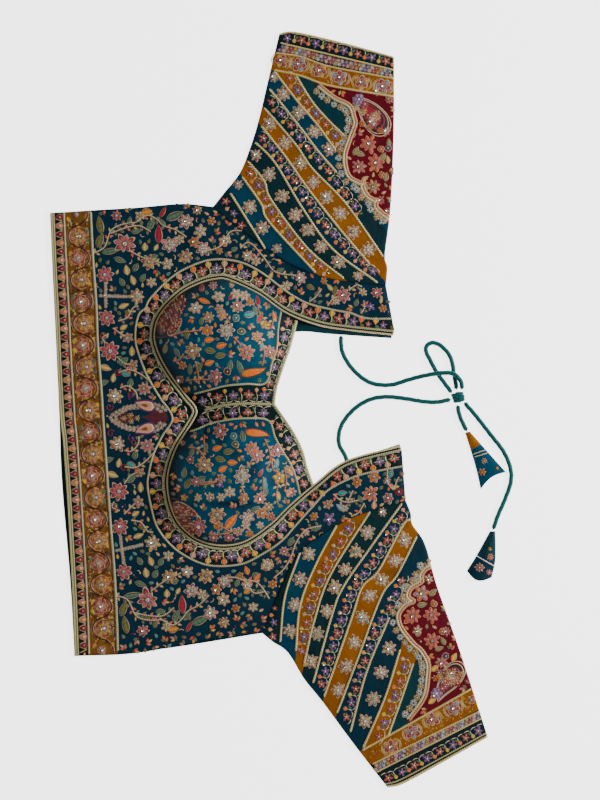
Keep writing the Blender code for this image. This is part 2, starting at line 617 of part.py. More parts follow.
def make_latkan(name):
    """A folded triangle of cloth, thicker at its middle, lying on the surface."""
    rows, belly = LATKANS[name]
    stations = np.linspace(0, len(rows) - 1, 9)
    left = smooth_through([(row.left_x, row.left_y) for row in rows], stations)
    right = smooth_through([(row.right_x, row.right_y) for row in rows], stations)
    across = np.linspace(0, 1, 7)
    flat = grid_between(left, right, across)
    away = (stations[None] / stations[-1]) ** 3 * np.sin(np.pi * across)[:, None] * belly
    middle = (left[-1] + right[-1]) / 2 - (left[0] + right[0]) / 2
    flat = flat + away[..., None] * middle / np.linalg.norm(middle)
    swell = np.sin(np.pi * across)[:, None] ** 0.6 * np.ones(len(stations))[None]
    under = np.full_like(swell, HAIR)
    height = under + LATKAN_EDGE + (LATKAN - LATKAN_EDGE - HAIR) * swell
    wall(name, np.dstack([flat, height]), np.dstack([flat, under]), "teal")


def main():
    for old in list(bpy.data.objects):
        bpy.data.objects.remove(old, do_unlink=True)
    make_front()
    make_back()
    make_neck_piping()
    for side in ("right", "left"):
        make_cup(side)
        make_sleeve(side)
    for name, route in DORI_ROUTES.items():
        make_dori(name, route)
    make_knot()
    for name in LATKANS:
        make_latkan(name)


main()
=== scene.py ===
import math

import bpy
import numpy as np
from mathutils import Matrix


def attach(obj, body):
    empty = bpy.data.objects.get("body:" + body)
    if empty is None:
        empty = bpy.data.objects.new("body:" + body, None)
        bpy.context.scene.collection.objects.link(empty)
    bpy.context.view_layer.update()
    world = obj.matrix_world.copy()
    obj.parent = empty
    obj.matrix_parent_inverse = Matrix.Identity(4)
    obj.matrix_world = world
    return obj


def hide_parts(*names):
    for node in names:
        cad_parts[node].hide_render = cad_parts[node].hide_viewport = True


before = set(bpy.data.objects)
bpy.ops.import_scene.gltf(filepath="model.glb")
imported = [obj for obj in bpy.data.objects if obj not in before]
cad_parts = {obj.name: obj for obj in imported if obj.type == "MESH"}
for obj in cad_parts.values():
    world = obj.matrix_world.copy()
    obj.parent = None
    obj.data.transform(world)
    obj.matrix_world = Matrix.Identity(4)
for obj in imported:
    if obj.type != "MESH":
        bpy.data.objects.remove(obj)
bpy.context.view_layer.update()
print("frame loaded:", len(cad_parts), "pieces")

# Sizes and places are in millimetres in the blouse's own frame: hem at -X, shoulders at +X,
# the wearer's right sleeve at +Y, the front up.
mm = 0.001
chance = np.random.default_rng(11)
sides = ("Right", "Left")


def smoothThrough(points, at):
    # Catmull-Rom curve through the points, read at fractional point numbers
    points = np.asarray(points, float)
    padded = np.vstack([2 * points[0] - points[1], points, 2 * points[-1] - points[-2]])
    index = np.clip(np.floor(at).astype(int), 0, len(points) - 2)
    part = (at - index)[:, None]
    a, b, c, d = (padded[index + k] for k in range(4))
    return 0.5 * (2 * b + (c - a) * part + (2 * a - 5 * b + 4 * c - d) * part ** 2
                  + (3 * b - a - 3 * c + d) * part ** 3)


def runOf(points):
    # distance along a line, at each of its points
    return np.concatenate([[0.0], np.cumsum(np.linalg.norm(np.diff(points, axis=0), axis=1))])


def atRun(points, at):
    # the line's points at those distances along it
    run = runOf(points)
    return np.stack([np.interp(at, run, column) for column in points.T], axis=1)


def evenly(points, count, straight=False):
    # the smooth curve through the points, at points an equal distance apart
    fine = np.asarray(points, float)
    if not straight:
        fine = smoothThrough(fine, np.linspace(0, len(fine) - 1, 40 * len(fine)))
    return atRun(fine, np.linspace(0, runOf(fine)[-1], count))


def everyStep(points, step, straight=False):
    length = runOf(evenly(points, 200, straight))[-1]
    return evenly(points, max(3, int(round(length / step)) + 1), straight)


def unit(vectors):
    return vectors / np.linalg.norm(vectors, axis=-1, keepdims=True)


def leftOf(vectors):
    # flat vectors turned a quarter to the left
    return np.stack([-vectors[..., 1], vectors[..., 0]], axis=-1)


def towards(angle):
    # flat vectors, one long, along those angles
    return np.stack([np.cos(angle), np.sin(angle)], axis=-1)


def circle(count):
    return np.linspace(0, 2 * np.pi, count, endpoint=False)


def sideways(curve, distance):
    # a flat curve moved to the left of its direction
    return curve[:, :2] + distance * leftOf(unit(np.gradient(curve[:, :2], axis=0)))


def distanceTo(line, points):
    # distance from each point to the nearest stretch of a line, for points of any array shape
    flat = np.asarray(points, float).reshape(-1, 2)
    nearest = np.full(len(flat), np.inf)
    for a, b in zip(line[:-1], line[1:]):
        run = b - a
        share = np.clip((flat - a) @ run / (run @ run), 0, 1)
        nearest = np.minimum(nearest, np.linalg.norm(flat - a - share[:, None] * run, axis=1))
    return nearest.reshape(np.shape(points)[:-1])


def signedTo(line, points):
    # the same distance, positive to the left of the line; the end stretches run on
    flat = np.asarray(points, float).reshape(-1, 2)
    nearest, signed = np.full(len(flat), np.inf), np.zeros(len(flat))
    last = len(line) - 2
    for i in range(last + 1):
        a, run = line[i], line[i + 1] - line[i]
        share = (flat - a) @ run / (run @ run)
        share = np.clip(share, -1e3 if i == 0 else 0, 1e3 if i == last else 1)
        size = np.linalg.norm(flat - a - share[:, None] * run, axis=1)
        side = np.sign(run[0] * (flat - a)[:, 1] - run[1] * (flat - a)[:, 0])
        closer = size < nearest
        signed[closer] = (size * side)[closer]
        nearest[closer] = size[closer]
    return signed.reshape(np.shape(points)[:-1])


def insideOf(loop, points):
    # which points lie within a closed line: an odd number of its stretches pass on their +X side
    flat = np.asarray(points, float).reshape(-1, 2)
    inside = np.zeros(len(flat), bool)
    for a, b in zip(loop, np.roll(loop, -1, axis=0)):
        if a[1] != b[1]:
            passing = (a[1] > flat[:, 1]) != (b[1] > flat[:, 1])
            crossing = a[0] + (flat[:, 1] - a[1]) / (b[1] - a[1]) * (b[0] - a[0])
            inside ^= passing & (flat[:, 0] < crossing)
    return inside.reshape(np.shape(points)[:-1])


def quadsOf(rows, columns, wrap=False, start=0, count=1):
    # faces of grids with that many rows and columns, one after another
    number = np.arange(rows * columns).reshape(rows, columns)
    if wrap:
        number = np.hstack([number, number[:, :1]])
    faces = np.stack([number[:-1, :-1], number[:-1, 1:], number[1:, 1:], number[1:, :-1]], axis=-1)
    shift = start + np.arange(count) * rows * columns
    return (faces.reshape(1, -1, 4) + shift[:, None, None]).reshape(-1, 4)


def poledFaces(rings, columns, count=1):
    # faces of domes: one point at the pole, then rings of points, one dome after another
    shift = (np.arange(count) * (rings * columns + 1))[:, None, None]
    onward = np.roll(np.arange(columns), -1)
    fan = np.stack([np.zeros(columns, int), 1 + np.arange(columns), 1 + onward], axis=-1)
    return [(quadsOf(rings, columns, wrap=True, start=1)[None] + shift).reshape(-1, 4)[:, ::-1],
            (fan[None] + shift).reshape(-1, 3)]


def capFaces(pole, first):
    # triangles from a pole to a ring of points
    return np.stack([np.full(len(first), pole), np.roll(first, -1), first], axis=1)[:, ::-1]


def addObject(name, data):
    made = bpy.data.objects.new(name, data)
    bpy.context.scene.collection.objects.link(made)
    return made


def makePiece(name, points, faces, material, tint=None, values=None):
    # one mesh from arrays: points in millimetres, quads and triangles, a colour and named values
    mesh = bpy.data.meshes.new(name)
    points = np.asarray(points, float).reshape(-1, 3)
    faces = [part for part in (faces if isinstance(faces, list) else [faces]) if len(part)]
    counts = np.concatenate([np.full(len(part), part.shape[1]) for part in faces])
    corners = np.concatenate([part.ravel() for part in faces])
    mesh.vertices.add(len(points))
    mesh.vertices.foreach_set("co", (points * mm).ravel())
    mesh.loops.add(len(corners))
    mesh.loops.foreach_set("vertex_index", corners)
    mesh.polygons.add(len(counts))
    mesh.polygons.foreach_set("loop_start", np.cumsum(counts) - counts)
    mesh.update(calc_edges=True)
    mesh.validate()
    mesh.shade_smooth()
    if tint is not None:
        layer = mesh.color_attributes.new("tint", "FLOAT_COLOR", "POINT")
        layer.data.foreach_set("color", np.column_stack([tint, np.ones(len(tint))]).ravel())
    for key, value in (values or {}).items():
        layer = mesh.attributes.new(key, "FLOAT", "POINT")
        layer.data.foreach_set("value", np.asarray(value, float).ravel())
    mesh.materials.append(material)
    piece = addObject(name, mesh)
    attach(piece, "root")
    return piece


def outwards(points, faces):
    # turns all faces of a closed shell round if the volume inside them comes out negative
    points = np.asarray(points).reshape(-1, 3)
    middle = points.mean(axis=0)
    volume = sum(np.einsum("ij,ij->", points[part[:, 0]] - middle,
                           np.cross(points[part[:, k]] - middle, points[part[:, k + 1]] - middle))
                 for part in faces for k in range(1, part.shape[1] - 1))
    return faces if volume > 0 else [part[:, ::-1] for part in faces]


def makeWall(name, top, bottom, material, values=None):
    # a closed wall between two grids of the same size
    rows, columns = top.shape[:2]
    number = np.arange(rows * columns).reshape(rows, columns)
    upper = quadsOf(rows, columns)
    rim = np.concatenate([number[0, :-1], number[:-1, -1], number[-1, :0:-1], number[:0:-1, 0]])
    onward, count = np.roll(rim, -1), rows * columns
    side = np.stack([onward, rim, rim + count, onward + count], axis=1)
    points = np.concatenate([top.reshape(-1, 3), bottom.reshape(-1, 3)])
    faces = outwards(points, [np.vstack([upper, upper[:, ::-1] + count, side])])
    values = {key: np.tile(np.asarray(value).ravel(), 2) for key, value in (values or {}).items()}
    return makePiece(name, points, faces, material, values=values)


def carried(path, wide, high, around=10, pitch=0.0, plies=2, twist=0.14, blunt=1.0):
    # an oval section carried along a line, level across it. Its radius swells in a wave that
    # winds round the line once each pitch, and it rounds off to a pole at both ends
    run = runOf(path)
    along = unit(np.gradient(path, axis=0))
    side = unit(np.cross([0.0, 0.0, 1.0], along))
    up = np.cross(along, side)
    turn = circle(around)[None]
    wave = np.sin(plies * turn + 2 * np.pi * run[:, None] / pitch) if pitch else 0 * run[:, None] + 0 * turn
    near = np.clip(np.minimum(run, run[-1] - run) / (blunt * high), 0, 1)
    radius = (1 + twist * wave) * np.sqrt(1 - (1 - near) ** 2)[:, None]
    rings = (path[:, None] + (wide * radius * np.cos(turn))[..., None] * side[:, None]
             + (high * radius * np.sin(turn))[..., None] * up[:, None])[1:-1]
    points = np.concatenate([path[:1], rings.reshape(-1, 3), path[-1:]])
    count, first = len(rings) * around, 1 + np.arange(around)
    faces = [quadsOf(len(rings), around, wrap=True, start=1)[:, ::-1], capFaces(0, first),
             capFaces(count + 1, first + count - around)[:, ::-1]]
    # the share is 1 on the plies' crests and 0 in their grooves: cords coloured by it carry painted highlight
    # and painted shade
    share = np.concatenate([[0.5], (0.5 + 0.5 * wave[1:-1]).ravel(), [0.5]])
    return points, outwards(points, faces), share


threads = {
    "cream": (240, 224, 184), "beige": (198, 160, 118), "tan": (212, 168, 126), "rose": (204, 104, 104),
    "pink": (222, 92, 122), "crimson": (158, 0, 40), "red": (204, 32, 38), "coral": (232, 78, 52),
    "orange": (238, 110, 10), "amber": (206, 130, 24), "yellow": (236, 176, 22), "gold": (206, 172, 92),
    "olive": (100, 100, 42), "greyGreen": (72, 106, 78), "greyBlue": (128, 156, 174),
    "aqua": (40, 140, 136), "lilac": (178, 132, 178), "purple": (108, 44, 108), "brown": (104, 48, 28),
    "maroon": (80, 4, 22), "white": (252, 248, 240), "peach": (226, 152, 110), "night": (10, 16, 22),
    "sage": (132, 128, 78), "pale": (226, 220, 168), "straw": (244, 226, 150), "shell": (230, 194, 154),
}
grounds = {
    "teal": (0, 42, 61), "azure": (0, 58, 82), "tealBright": (0, 68, 94), "dark": (0, 30, 34),
    "stripe": (0, 41, 48), "hemDark": (24, 26, 20), "ochre": (146, 84, 4), "hemGold": (126, 80, 28),
    "maroon": (96, 0, 22), "deep": (0, 52, 60), "tie": (4, 86, 86), "lining": (3, 30, 38),
}


def linear(colour):
    share = np.asarray(colour, float) / 255
    return np.where(share <= 0.04045, share / 12.92, ((share + 0.055) / 1.055) ** 2.4)


threadColour = {name: linear(colour) for name, colour in threads.items()}
groundColour = {name: linear(colour) for name, colour in grounds.items()}


def blendColours(tones, share):
    # from the second tone's colour to the first's; one tone alone stays as it is. Cords use it for painted
    # shade in their grooves and painted highlight on their crests
    light, dark = (threadColour[name] for name in (2 * tones.split())[:2])
    return dark * (1 - share[..., None]) + light * share[..., None]


# the cut: each section joins a point of the neckline to a point of the outer edge, and a last
# True makes a corner of the edge
frontSections = [
    ("right shoulder", 131.5, 80, 123, 129.5, True), ("right strap", 80, 85.5, 80, 134.5),
    ("right strap root", 51.5, 90.5, 49.5, 141), ("right cup end", 19, 103, 16, 156),
    ("right armhole", -10, 123, -19.5, 181), ("right armhole low", -41.5, 137.5, -44.5, 200),
    ("right armpit", -56, 138.5, -58.5, 212.5, True), ("right side high", -74.5, 133.5, -92, 215.5),
    ("right side", -95, 122, -145.5, 211), ("right hem corner", -115, 100.5, -229.5, 206, True),
    ("right hem", -121.5, 81, -227, 145), ("right hem mid", -119, 63, -224, 85),
    ("right hem low", -107.5, 40, -221.5, 30), ("right of point", -88, 13, -220, 5),
    ("point, right", -80.5, 4.5, -219.5, -3), ("centre point", -77.5, -2.5, -219, -11.5),
    ("point, left", -80.5, -10, -218, -20), ("left of point", -87, -20.5, -216.5, -32),
    ("left hem low", -99.5, -41.5, -214.5, -58), ("left hem mid", -107.5, -68, -211.5, -100),
    ("left hem", -107, -90, -208.5, -155), ("left hem high", -101.5, -110, -205.5, -215),
    ("left hem corner", -92, -125, -204, -259, True), ("left side", -74.5, -138.5, -140, -256),
    ("left side high", -50, -144.5, -62, -242), ("left armpit", -24, -140, -7, -235, True),
    ("left armhole low", 3.5, -121.5, 11, -191), ("left cup end", 22, -103.5, 33, -149),
    ("left strap root", 50, -79.5, 76, -119.5), ("left strap", 82.5, -56, 106.5, -107),
    ("left shoulder", 139, -40.5, 143.5, -95, True)]
backSections = [
    ("right shoulder", 129, 74.5, 123, 129.5, True), ("right strap", 64.5, 79, 80, 134.5),
    ("right strap root", 33, 81.5, 49.5, 141), ("right armhole", -7, 76, -19.5, 181),
    ("right armpit", -36, 61, -58.5, 212.5, True), ("right side", -49, 46, -145.5, 211),
    ("right hem corner", -58, 31, -229.5, 206, True), ("right hem", -63.5, 15, -224.5, 100),
    ("centre", -66, -2, -220, -5), ("left hem", -64, -20, -217, -78.5),
    ("left hem high", -58, -36, -208.5, -180), ("left hem corner", -50, -49, -204, -259, True),
    ("left side", -37, -64, -115, -252), ("left armpit", -18, -79, -7, -235, True),
    ("left armhole", 5, -90, 33, -149), ("left strap root", 46, -87, 76, -119.5),
    ("left strap", 83, -61.5, 106.5, -107), ("left strap high", 108, -46.5, 124, -100.5),
    ("left shoulder", 137.5, -36.5, 143.5, -95, True)]


def armholeLine(side, count):
    places = [row[0] for row in frontSections]
    ends = sorted(places.index(side.lower() + end) for end in (" shoulder", " armpit"))
    return evenly([row[3:5] for row in frontSections[ends[0]:ends[1] + 1]], count)


def sectionRails(sections, step):
    # the neckline and the outer edge of a panel, point for point, about a step apart
    neck = np.array([row[1:3] for row in sections], float)
    edge = np.array([row[3:5] for row in sections], float)
    corners = [i for i, row in enumerate(sections) if len(row) > 5]
    fractions, outer = [], []
    for first, last in zip(corners[:-1], corners[1:]):
        ends = {sections[first][0], sections[last][0]}
        side = next((s for s in ("right", "left") if ends == {s + " shoulder", s + " armpit"}), None)
        stretch = edge[first:last + 1]
        if side:
            run = runOf(stretch)
            count = int(run[-1] / step)
            local = np.interp(np.linspace(0, run[-1], count + 1), run, np.arange(len(run)))
            points = armholeLine(side, count + 1)
        else:
            spans = np.maximum(np.diff(runOf(neck[first:last + 1])), np.diff(runOf(stretch)))
            counts = np.maximum(1, np.round(spans / step)).astype(int)
            local = np.concatenate([i + np.arange(n) / n for i, n in enumerate(counts)]
                                   + [[len(counts)]])
            points = smoothThrough(stretch, local)
        fractions.append((local + first)[:-1])
        outer.append(points[:-1])
    fractions = np.concatenate(fractions + [[corners[-1]]])
    return smoothThrough(neck, fractions), np.vstack(outer + [edge[-1:]]), fractions


def acrossRails(inner, outer, shares):
    shares = np.asarray(shares)[:, None, None]
    return inner[None] * (1 - shares) + outer[None] * shares


# soft folds by piece, as x, y, x, y, height and width: a ridge, or a trough below zero
folds = {
    "cupRight": [(-90, 113, -20, 107, -2.4, 6), (-60, 96, -66, 40, -0.9, 7), (-108, 60, -98, 108, -2.4, 5)],
    "cupLeft": [
        (-70, -100, -16, -98, -3.6, 3.6), (-103, -62, -92, -112, -2.6, 5), (-66, -14, -66.5, -52, -2.4, 2.2),
        (-8, -40, 12, -80, -0.8, 7)],
    "sleeveLeft": [
        (146, -116.5, 130, -135, -1.8, 2.6), (112, -174, 136, -173, -1.8, 2.6),
        (108, -178, 140, -170, -1.2, 6), (148, -112, 128, -140, 1, 5), (2, -238, 24, -180, 1, 6),
        (60, -250, 110, -286, 0.7, 9)],
    "sleeveRight": [
        (104, 154, 125, 149, -1.2, 5), (-50, 222, -14, 196, 1, 6), (12, 300, 60, 262, 0.7, 9),
        (40, 240, 96, 206, -0.6, 8)],
    "front": [
        (-62, 205, -80, 160, 1.5, 9), (-20, -225, -48, -178, 1.5, 9), (-205, -20, -130, -10, 1.6, 22),
        (-200, 120, -150, 150, 0.6, 12), (-190, -160, -140, -190, 0.6, 12)],
}


def foldHeight(piece, x, y):
    # sum of the soft folds on a piece: a bell across each line, faded at its ends
    total = np.zeros(np.shape(x))
    for x1, y1, x2, y2, height, width in folds[piece]:
        length = math.hypot(x2 - x1, y2 - y1)
        along = ((x - x1) * (x2 - x1) + (y - y1) * (y2 - y1)) / length
        across = ((y - y1) * (x2 - x1) - (x - x1) * (y2 - y1)) / length
        ends = np.sin(np.pi * np.clip(along / length, 0, 1)) ** 0.7
        total += height * ends * np.exp(-(across / width) ** 2)
    return total


def setSockets(tree, node, sockets):
    # each socket takes a value, or a link from another node's output
    for key, value in sockets.items():
        if isinstance(value, bpy.types.NodeSocket):
            tree.links.new(value, node.inputs[key])
        else:
            node.inputs[key].default_value = value


def addNode(tree, kind, sockets=None, **settings):
    node = tree.nodes.new("ShaderNode" + kind)
    for key, value in settings.items():
        setattr(node, key, value)
    setSockets(tree, node, sockets or {})
    return node


def newMaterial(name, sockets):
    made = bpy.data.materials.new(name)
    made.use_nodes = True
    setSockets(made.node_tree, made.node_tree.nodes["Principled BSDF"], sockets)
    return made, made.node_tree


# the camera's place and the lights' places, sizes and powers in metres; the frame is 630 x 840 mm
stage = {"eye": (0.0328, 0.0097, 4.6), "frameHeight": 0.840, "floor": 4.0, "floorGlow": 3.2, "sky": 0.23,
         "lamps": {"key": ((1.9, 0.35, 1.25), 0.6, 50.0), "fill": ((-0.6, -1.0, 2.2), 1.6, 6.0)}}


def makeStage():
    camera = bpy.data.cameras.new("camera")
    camera.sensor_width = 36.0
    camera.lens = camera.sensor_width * stage["eye"][2] / stage["frameHeight"]
    eye = addObject("camera", camera)
    eye.location = stage["eye"]
    bpy.context.scene.camera = eye

    finish, _ = newMaterial("paleFloor", {
        "Base Color": (0.93, 0.93, 0.93, 1), "Roughness": 0.9, "Emission Color": (1, 1, 1, 1),
        "Emission Strength": stage["floorGlow"]})
    far = stage["floor"]
    mesh = bpy.data.meshes.new("floor")
    mesh.from_pydata([(-far, -far, 0), (far, -far, 0), (far, far, 0), (-far, far, 0)], [], [(0, 1, 2, 3)])
    mesh.materials.append(finish)
    floor = addObject("floor", mesh)

    world = bpy.data.worlds.new("studio")
    world.use_nodes = True
    setSockets(world.node_tree, world.node_tree.nodes["Background"],
               {"Color": (1, 1, 1, 1), "Strength": stage["sky"]})
    bpy.context.scene.world = world
    for name, (place, size, power) in stage["lamps"].items():
        lamp = bpy.data.lights.new(name, "AREA")
        lamp.size, lamp.energy = size, power
        light = addObject(name, lamp)
        light.location = place
        x, y, z = place
        light.rotation_euler = (math.atan2(math.hypot(x, y), z), 0, math.atan2(-y, -x) - math.pi / 2)


makeStage()
print("camera and light")


def bandedColour(tree, base, layers):
    # a ground colour that changes where a value kept at the points passes fixed sizes: each layer
    # is a value's name, its range and steps of (from this value on, colour or None)
    colour = groundColour[base]
    for number, (key, low, high, steps) in enumerate(layers):
        read = addNode(tree, "Attribute", attribute_name=key)
        share = addNode(tree, "MapRange", {"Value": read.outputs["Fac"], "From Min": low, "From Max": high})
        ramp = addNode(tree, "ValToRGB", {"Fac": share.outputs["Result"]})
        ramp.color_ramp.interpolation = "CONSTANT"
        stops = ramp.color_ramp.elements
        for step, (start, shade) in enumerate(steps):
            place = min(max((start - low) / (high - low), 0.0), 1.0)
            stop = stops[step] if step < 2 else stops.new(place)
            stop.position = place
            stop.color = (*groundColour[shade], 1.0) if shade else (0, 0, 0, 0)
        mix = addNode(tree, "Mix", {0: ramp.outputs["Alpha"], 6: colour if number else (*colour, 1),
                                    7: ramp.outputs["Color"]}, data_type="RGBA")
        colour = mix.outputs[2]
    return colour


def satin(name, base, layers=(), roughness=0.58, sheen=0.03, weave=0.35, mottle=0.42, shaded=False):
    # satin-silk: its ground in soft blotches, darkened by a piece's painted shade, leaning to one
    # hue or another, with a fine twill of threads and small puckers as bump, and a silky sheen
    made, tree = newMaterial(name, {"Roughness": roughness, "Sheen Weight": sheen, "Sheen Roughness": 0.35,
                                    "Specular IOR Level": 0.13})
    place = addNode(tree, "TexCoord").outputs["Object"]

    def noise(scale, detail):
        return addNode(tree, "TexNoise", {"Vector": place, "Scale": scale, "Detail": detail}).outputs["Fac"]

    twill = addNode(tree, "TexWave", {"Vector": place, "Scale": 420.0, "Distortion": 1.2, "Detail": 1.0},
                    bands_direction="DIAGONAL")
    shade = addNode(tree, "MapRange", {"Value": noise(55.0, 3.0), "To Min": 1 - mottle,
                                       "To Max": 1 + mottle}).outputs["Result"]
    if shaded:
        # painted shade: the piece's 'shade' values darken its ground colour
        paintedHollowShade = addNode(tree, "Attribute", attribute_name="shade")
        deeper = addNode(tree, "Math", {0: shade, 1: paintedHollowShade.outputs["Fac"]}, operation="MULTIPLY")
        shade = deeper.outputs["Value"]
    scaled = addNode(tree, "VectorMath", {0: bandedColour(tree, base, layers), "Scale": shade},
                     operation="SCALE")
    leaning = addNode(tree, "Mix", {0: noise(21.0, 2.0), 6: (1.0, 0.84, 1.14, 1), 7: (1.0, 1.22, 0.84, 1)},
                      data_type="RGBA")
    mixed = addNode(tree, "VectorMath", {0: scaled.outputs["Vector"], 1: leaning.outputs[2]},
                    operation="MULTIPLY")
    bump = addNode(tree, "Bump", {"Strength": weave, "Distance": 0.0004, "Height": twill.outputs["Fac"]})
    pucker = addNode(tree, "Bump", {"Strength": 0.35, "Distance": 0.0022, "Height": noise(130.0, 2.0),
                                    "Normal": bump.outputs["Normal"]})
    setSockets(tree, tree.nodes["Principled BSDF"],
               {"Base Color": mixed.outputs["Vector"], "Normal": pucker.outputs["Normal"]})
    return made


def thread(name, roughness=0.42, metallic=0.0, sheen=0.05, grain=0.5, scale=900.0):
    # stitched thread: tint from the piece, with fine strands as bump and lighter and darker strands
    made, tree = newMaterial(name, {"Roughness": roughness, "Metallic": metallic, "Sheen Weight": sheen})
    place = addNode(tree, "TexCoord").outputs["Object"]
    strand = addNode(tree, "TexNoise", {"Vector": place, "Scale": scale, "Detail": 2.0}).outputs["Fac"]
    shade = addNode(tree, "MapRange", {"Value": strand, "From Min": 0.3, "From Max": 0.7, "To Min": 0.72,
                                       "To Max": 1.22})
    tint = addNode(tree, "VertexColor", layer_name="tint")
    scaled = addNode(tree, "VectorMath", {0: tint.outputs["Color"], "Scale": shade.outputs["Result"]},
                     operation="SCALE")
    bump = addNode(tree, "Bump", {"Strength": grain, "Distance": 0.0005, "Height": strand})
    setSockets(tree, tree.nodes["Principled BSDF"],
               {"Base Color": scaled.outputs["Vector"], "Normal": bump.outputs["Normal"]})
    return made


finishes = {
    "lining": satin("seamSatin", "lining", roughness=0.6),
    "tie": satin("tieSatin", "tie", roughness=0.38, sheen=0.3, weave=0.25, mottle=0.12),
    "silk": thread("embroiderySilk"),
    "zari": thread("zariCord", roughness=0.38, metallic=0.2, sheen=0.0, scale=1200.0),
    "sequin": thread("sequinFoil", roughness=0.16, metallic=1.0, sheen=0.0, grain=0.05, scale=200.0),
}


# the surfaces that embroidery lies on
def doubled(grid):
    full = np.zeros((2 * grid.shape[0] - 1, 2 * grid.shape[1] - 1, grid.shape[2]))
    full[::2, ::2] = grid
    full[1::2, ::2] = (grid[:-1] + grid[1:]) / 2
    full[:, 1::2] = (full[:, :-2:2] + full[:, 2::2]) / 2
    return full


def heightMap(grids, step=1.4, spread=9):
    # square cells with the surfaces' mean height, its slopes and how far in from the edges each
    # cell lies. The heights are spread outwards past the edges
    points = []
    for fine in grids:
        for _ in range(4):
            widest = max(np.linalg.norm(np.diff(fine[..., :2], axis=k), axis=2).max() for k in (0, 1))
            if widest > 0.9 * step:
                fine = doubled(fine)
        points.append(fine.reshape(-1, 3))
    points = np.vstack(points)
    low = points[:, :2].min(axis=0) - (spread + 2) * step
    index = np.round((points[:, :2] - low) / step).astype(int)
    size = index.max(axis=0) + spread + 3
    total, count = np.zeros(size), np.zeros(size)
    np.add.at(total, tuple(index.T), points[:, 2])
    np.add.at(count, tuple(index.T), 1)
    known = count > 0
    steps = [(s, k) for s in (1, -1) for k in (0, 1)]
    inside, depth = known.copy(), np.zeros(size)
    for ring in range(10):
        depth += step * inside
        inside = inside & np.logical_and.reduce([np.roll(inside, s, axis=k) for s, k in steps])
        if ring % 2:
            corners = [np.roll(inside, (a, b), axis=(0, 1)) for a in (1, -1) for b in (1, -1)]
            inside = inside & np.logical_and.reduce(corners)
    height = total / np.maximum(count, 1)
    for _ in range(spread + 2):
        near = sum(np.roll(height * known, s, axis=k) for s, k in steps)
        nearCount = sum(np.roll(known.astype(float), s, axis=k) for s, k in steps)
        fresh = ~known & (nearCount > 0)
        height[fresh] = (near / np.maximum(nearCount, 1))[fresh]
        known = known | fresh
    height[~known] = height[known].mean()
    return {"low": low, "step": step, "layers": np.dstack([height, *np.gradient(height, step), depth])}


def readGrid(grid, u, v):
    # a grid's values at fractional rows and columns, by straight interpolation
    i, j = u.astype(int), v.astype(int)
    f, g = (u - i)[..., None], (v - j)[..., None]
    return ((grid[i, j] * (1 - f) + grid[i + 1, j] * f) * (1 - g)
            + (grid[i, j + 1] * (1 - f) + grid[i + 1, j + 1] * f) * g)


def readMap(ground, x, y):
    # height, slopes and depth at places of the plan
    cells = [np.clip((np.asarray(value, float) - ground["low"][k]) / ground["step"], 0,
                     ground["layers"].shape[k] - 1.001) for k, value in enumerate((x, y))]
    return readGrid(ground["layers"], *cells)


def inPanel(ground, places, margin):
    # which places lie at least a margin inside the surface's edges
    return readMap(ground, places[:, 0], places[:, 1])[:, 3] >= margin


def onSurface(ground, x, y, lift=0.0):
    # the surface's point over a place of the plan, moved out along its normal, and that normal
    read = readMap(ground, x, y)
    normal = unit(np.stack([-read[..., 1], -read[..., 2], np.ones(np.shape(x))], axis=-1))
    return np.stack([x, y, read[..., 0]], axis=-1) + np.asarray(lift)[..., None] * normal, normal


# stitches, gathered in piles that become one mesh each; work is a pile's name and its surface
piles = {}


def addTo(name, points, faces, tint):
    kept = piles.setdefault(name, {"points": [], "faces": [], "tint": [], "count": 0})
    points = points.reshape(-1, 3)
    kept["points"].append(points)
    kept["faces"] += [part + kept["count"] for part in (faces if isinstance(faces, list) else [faces])]
    kept["tint"].append(np.broadcast_to(np.asarray(tint).reshape(-1, 3), points.shape))
    kept["count"] += len(points)


def layOn(work, x, y, lift, faces, tint, poles=None):
    # motifs' grids laid on their surface, each after its pole, whose x, y and lift may be given
    points, _ = onSurface(work[1], x, y, np.broadcast_to(lift, x.shape))
    if poles:
        middles, _ = onSurface(work[1], *poles)
        points = np.concatenate([middles[:, None], points.reshape(len(middles), -1, 3)], axis=1)
    addTo(work[0], points, faces, tint)


def pourPile(name, finish):
    kept = piles[name]
    faces = [np.vstack([part for part in kept["faces"] if part.shape[1] == n] or [np.zeros((0, n), int)])
             for n in (3, 4)]
    piece = makePiece(name, np.vstack(kept["points"]), faces, finishes[finish], tint=np.vstack(kept["tint"]))
    print("  " + name, len(piece.data.polygons), "faces")
    return piece


def asColours(names, count):
    # one colour name or a list of names, as an array with a row for each motif
    names = [names] if isinstance(names, str) else names
    return np.stack([threadColour[names[i % len(names)]] for i in range(count)])


def asPlaces(work, places, margin):
    # the places of a list that lie a margin inside the surface's edges
    places = np.atleast_2d(np.asarray(places, float))
    return places[inPanel(work[1], places, margin)]


def roundPlaces(places, reach, angle):
    # x and y of the points at that reach and angle from each place
    return (places[:, 0, None, None] + reach * np.cos(angle),
            places[:, 1, None, None] + reach * np.sin(angle))


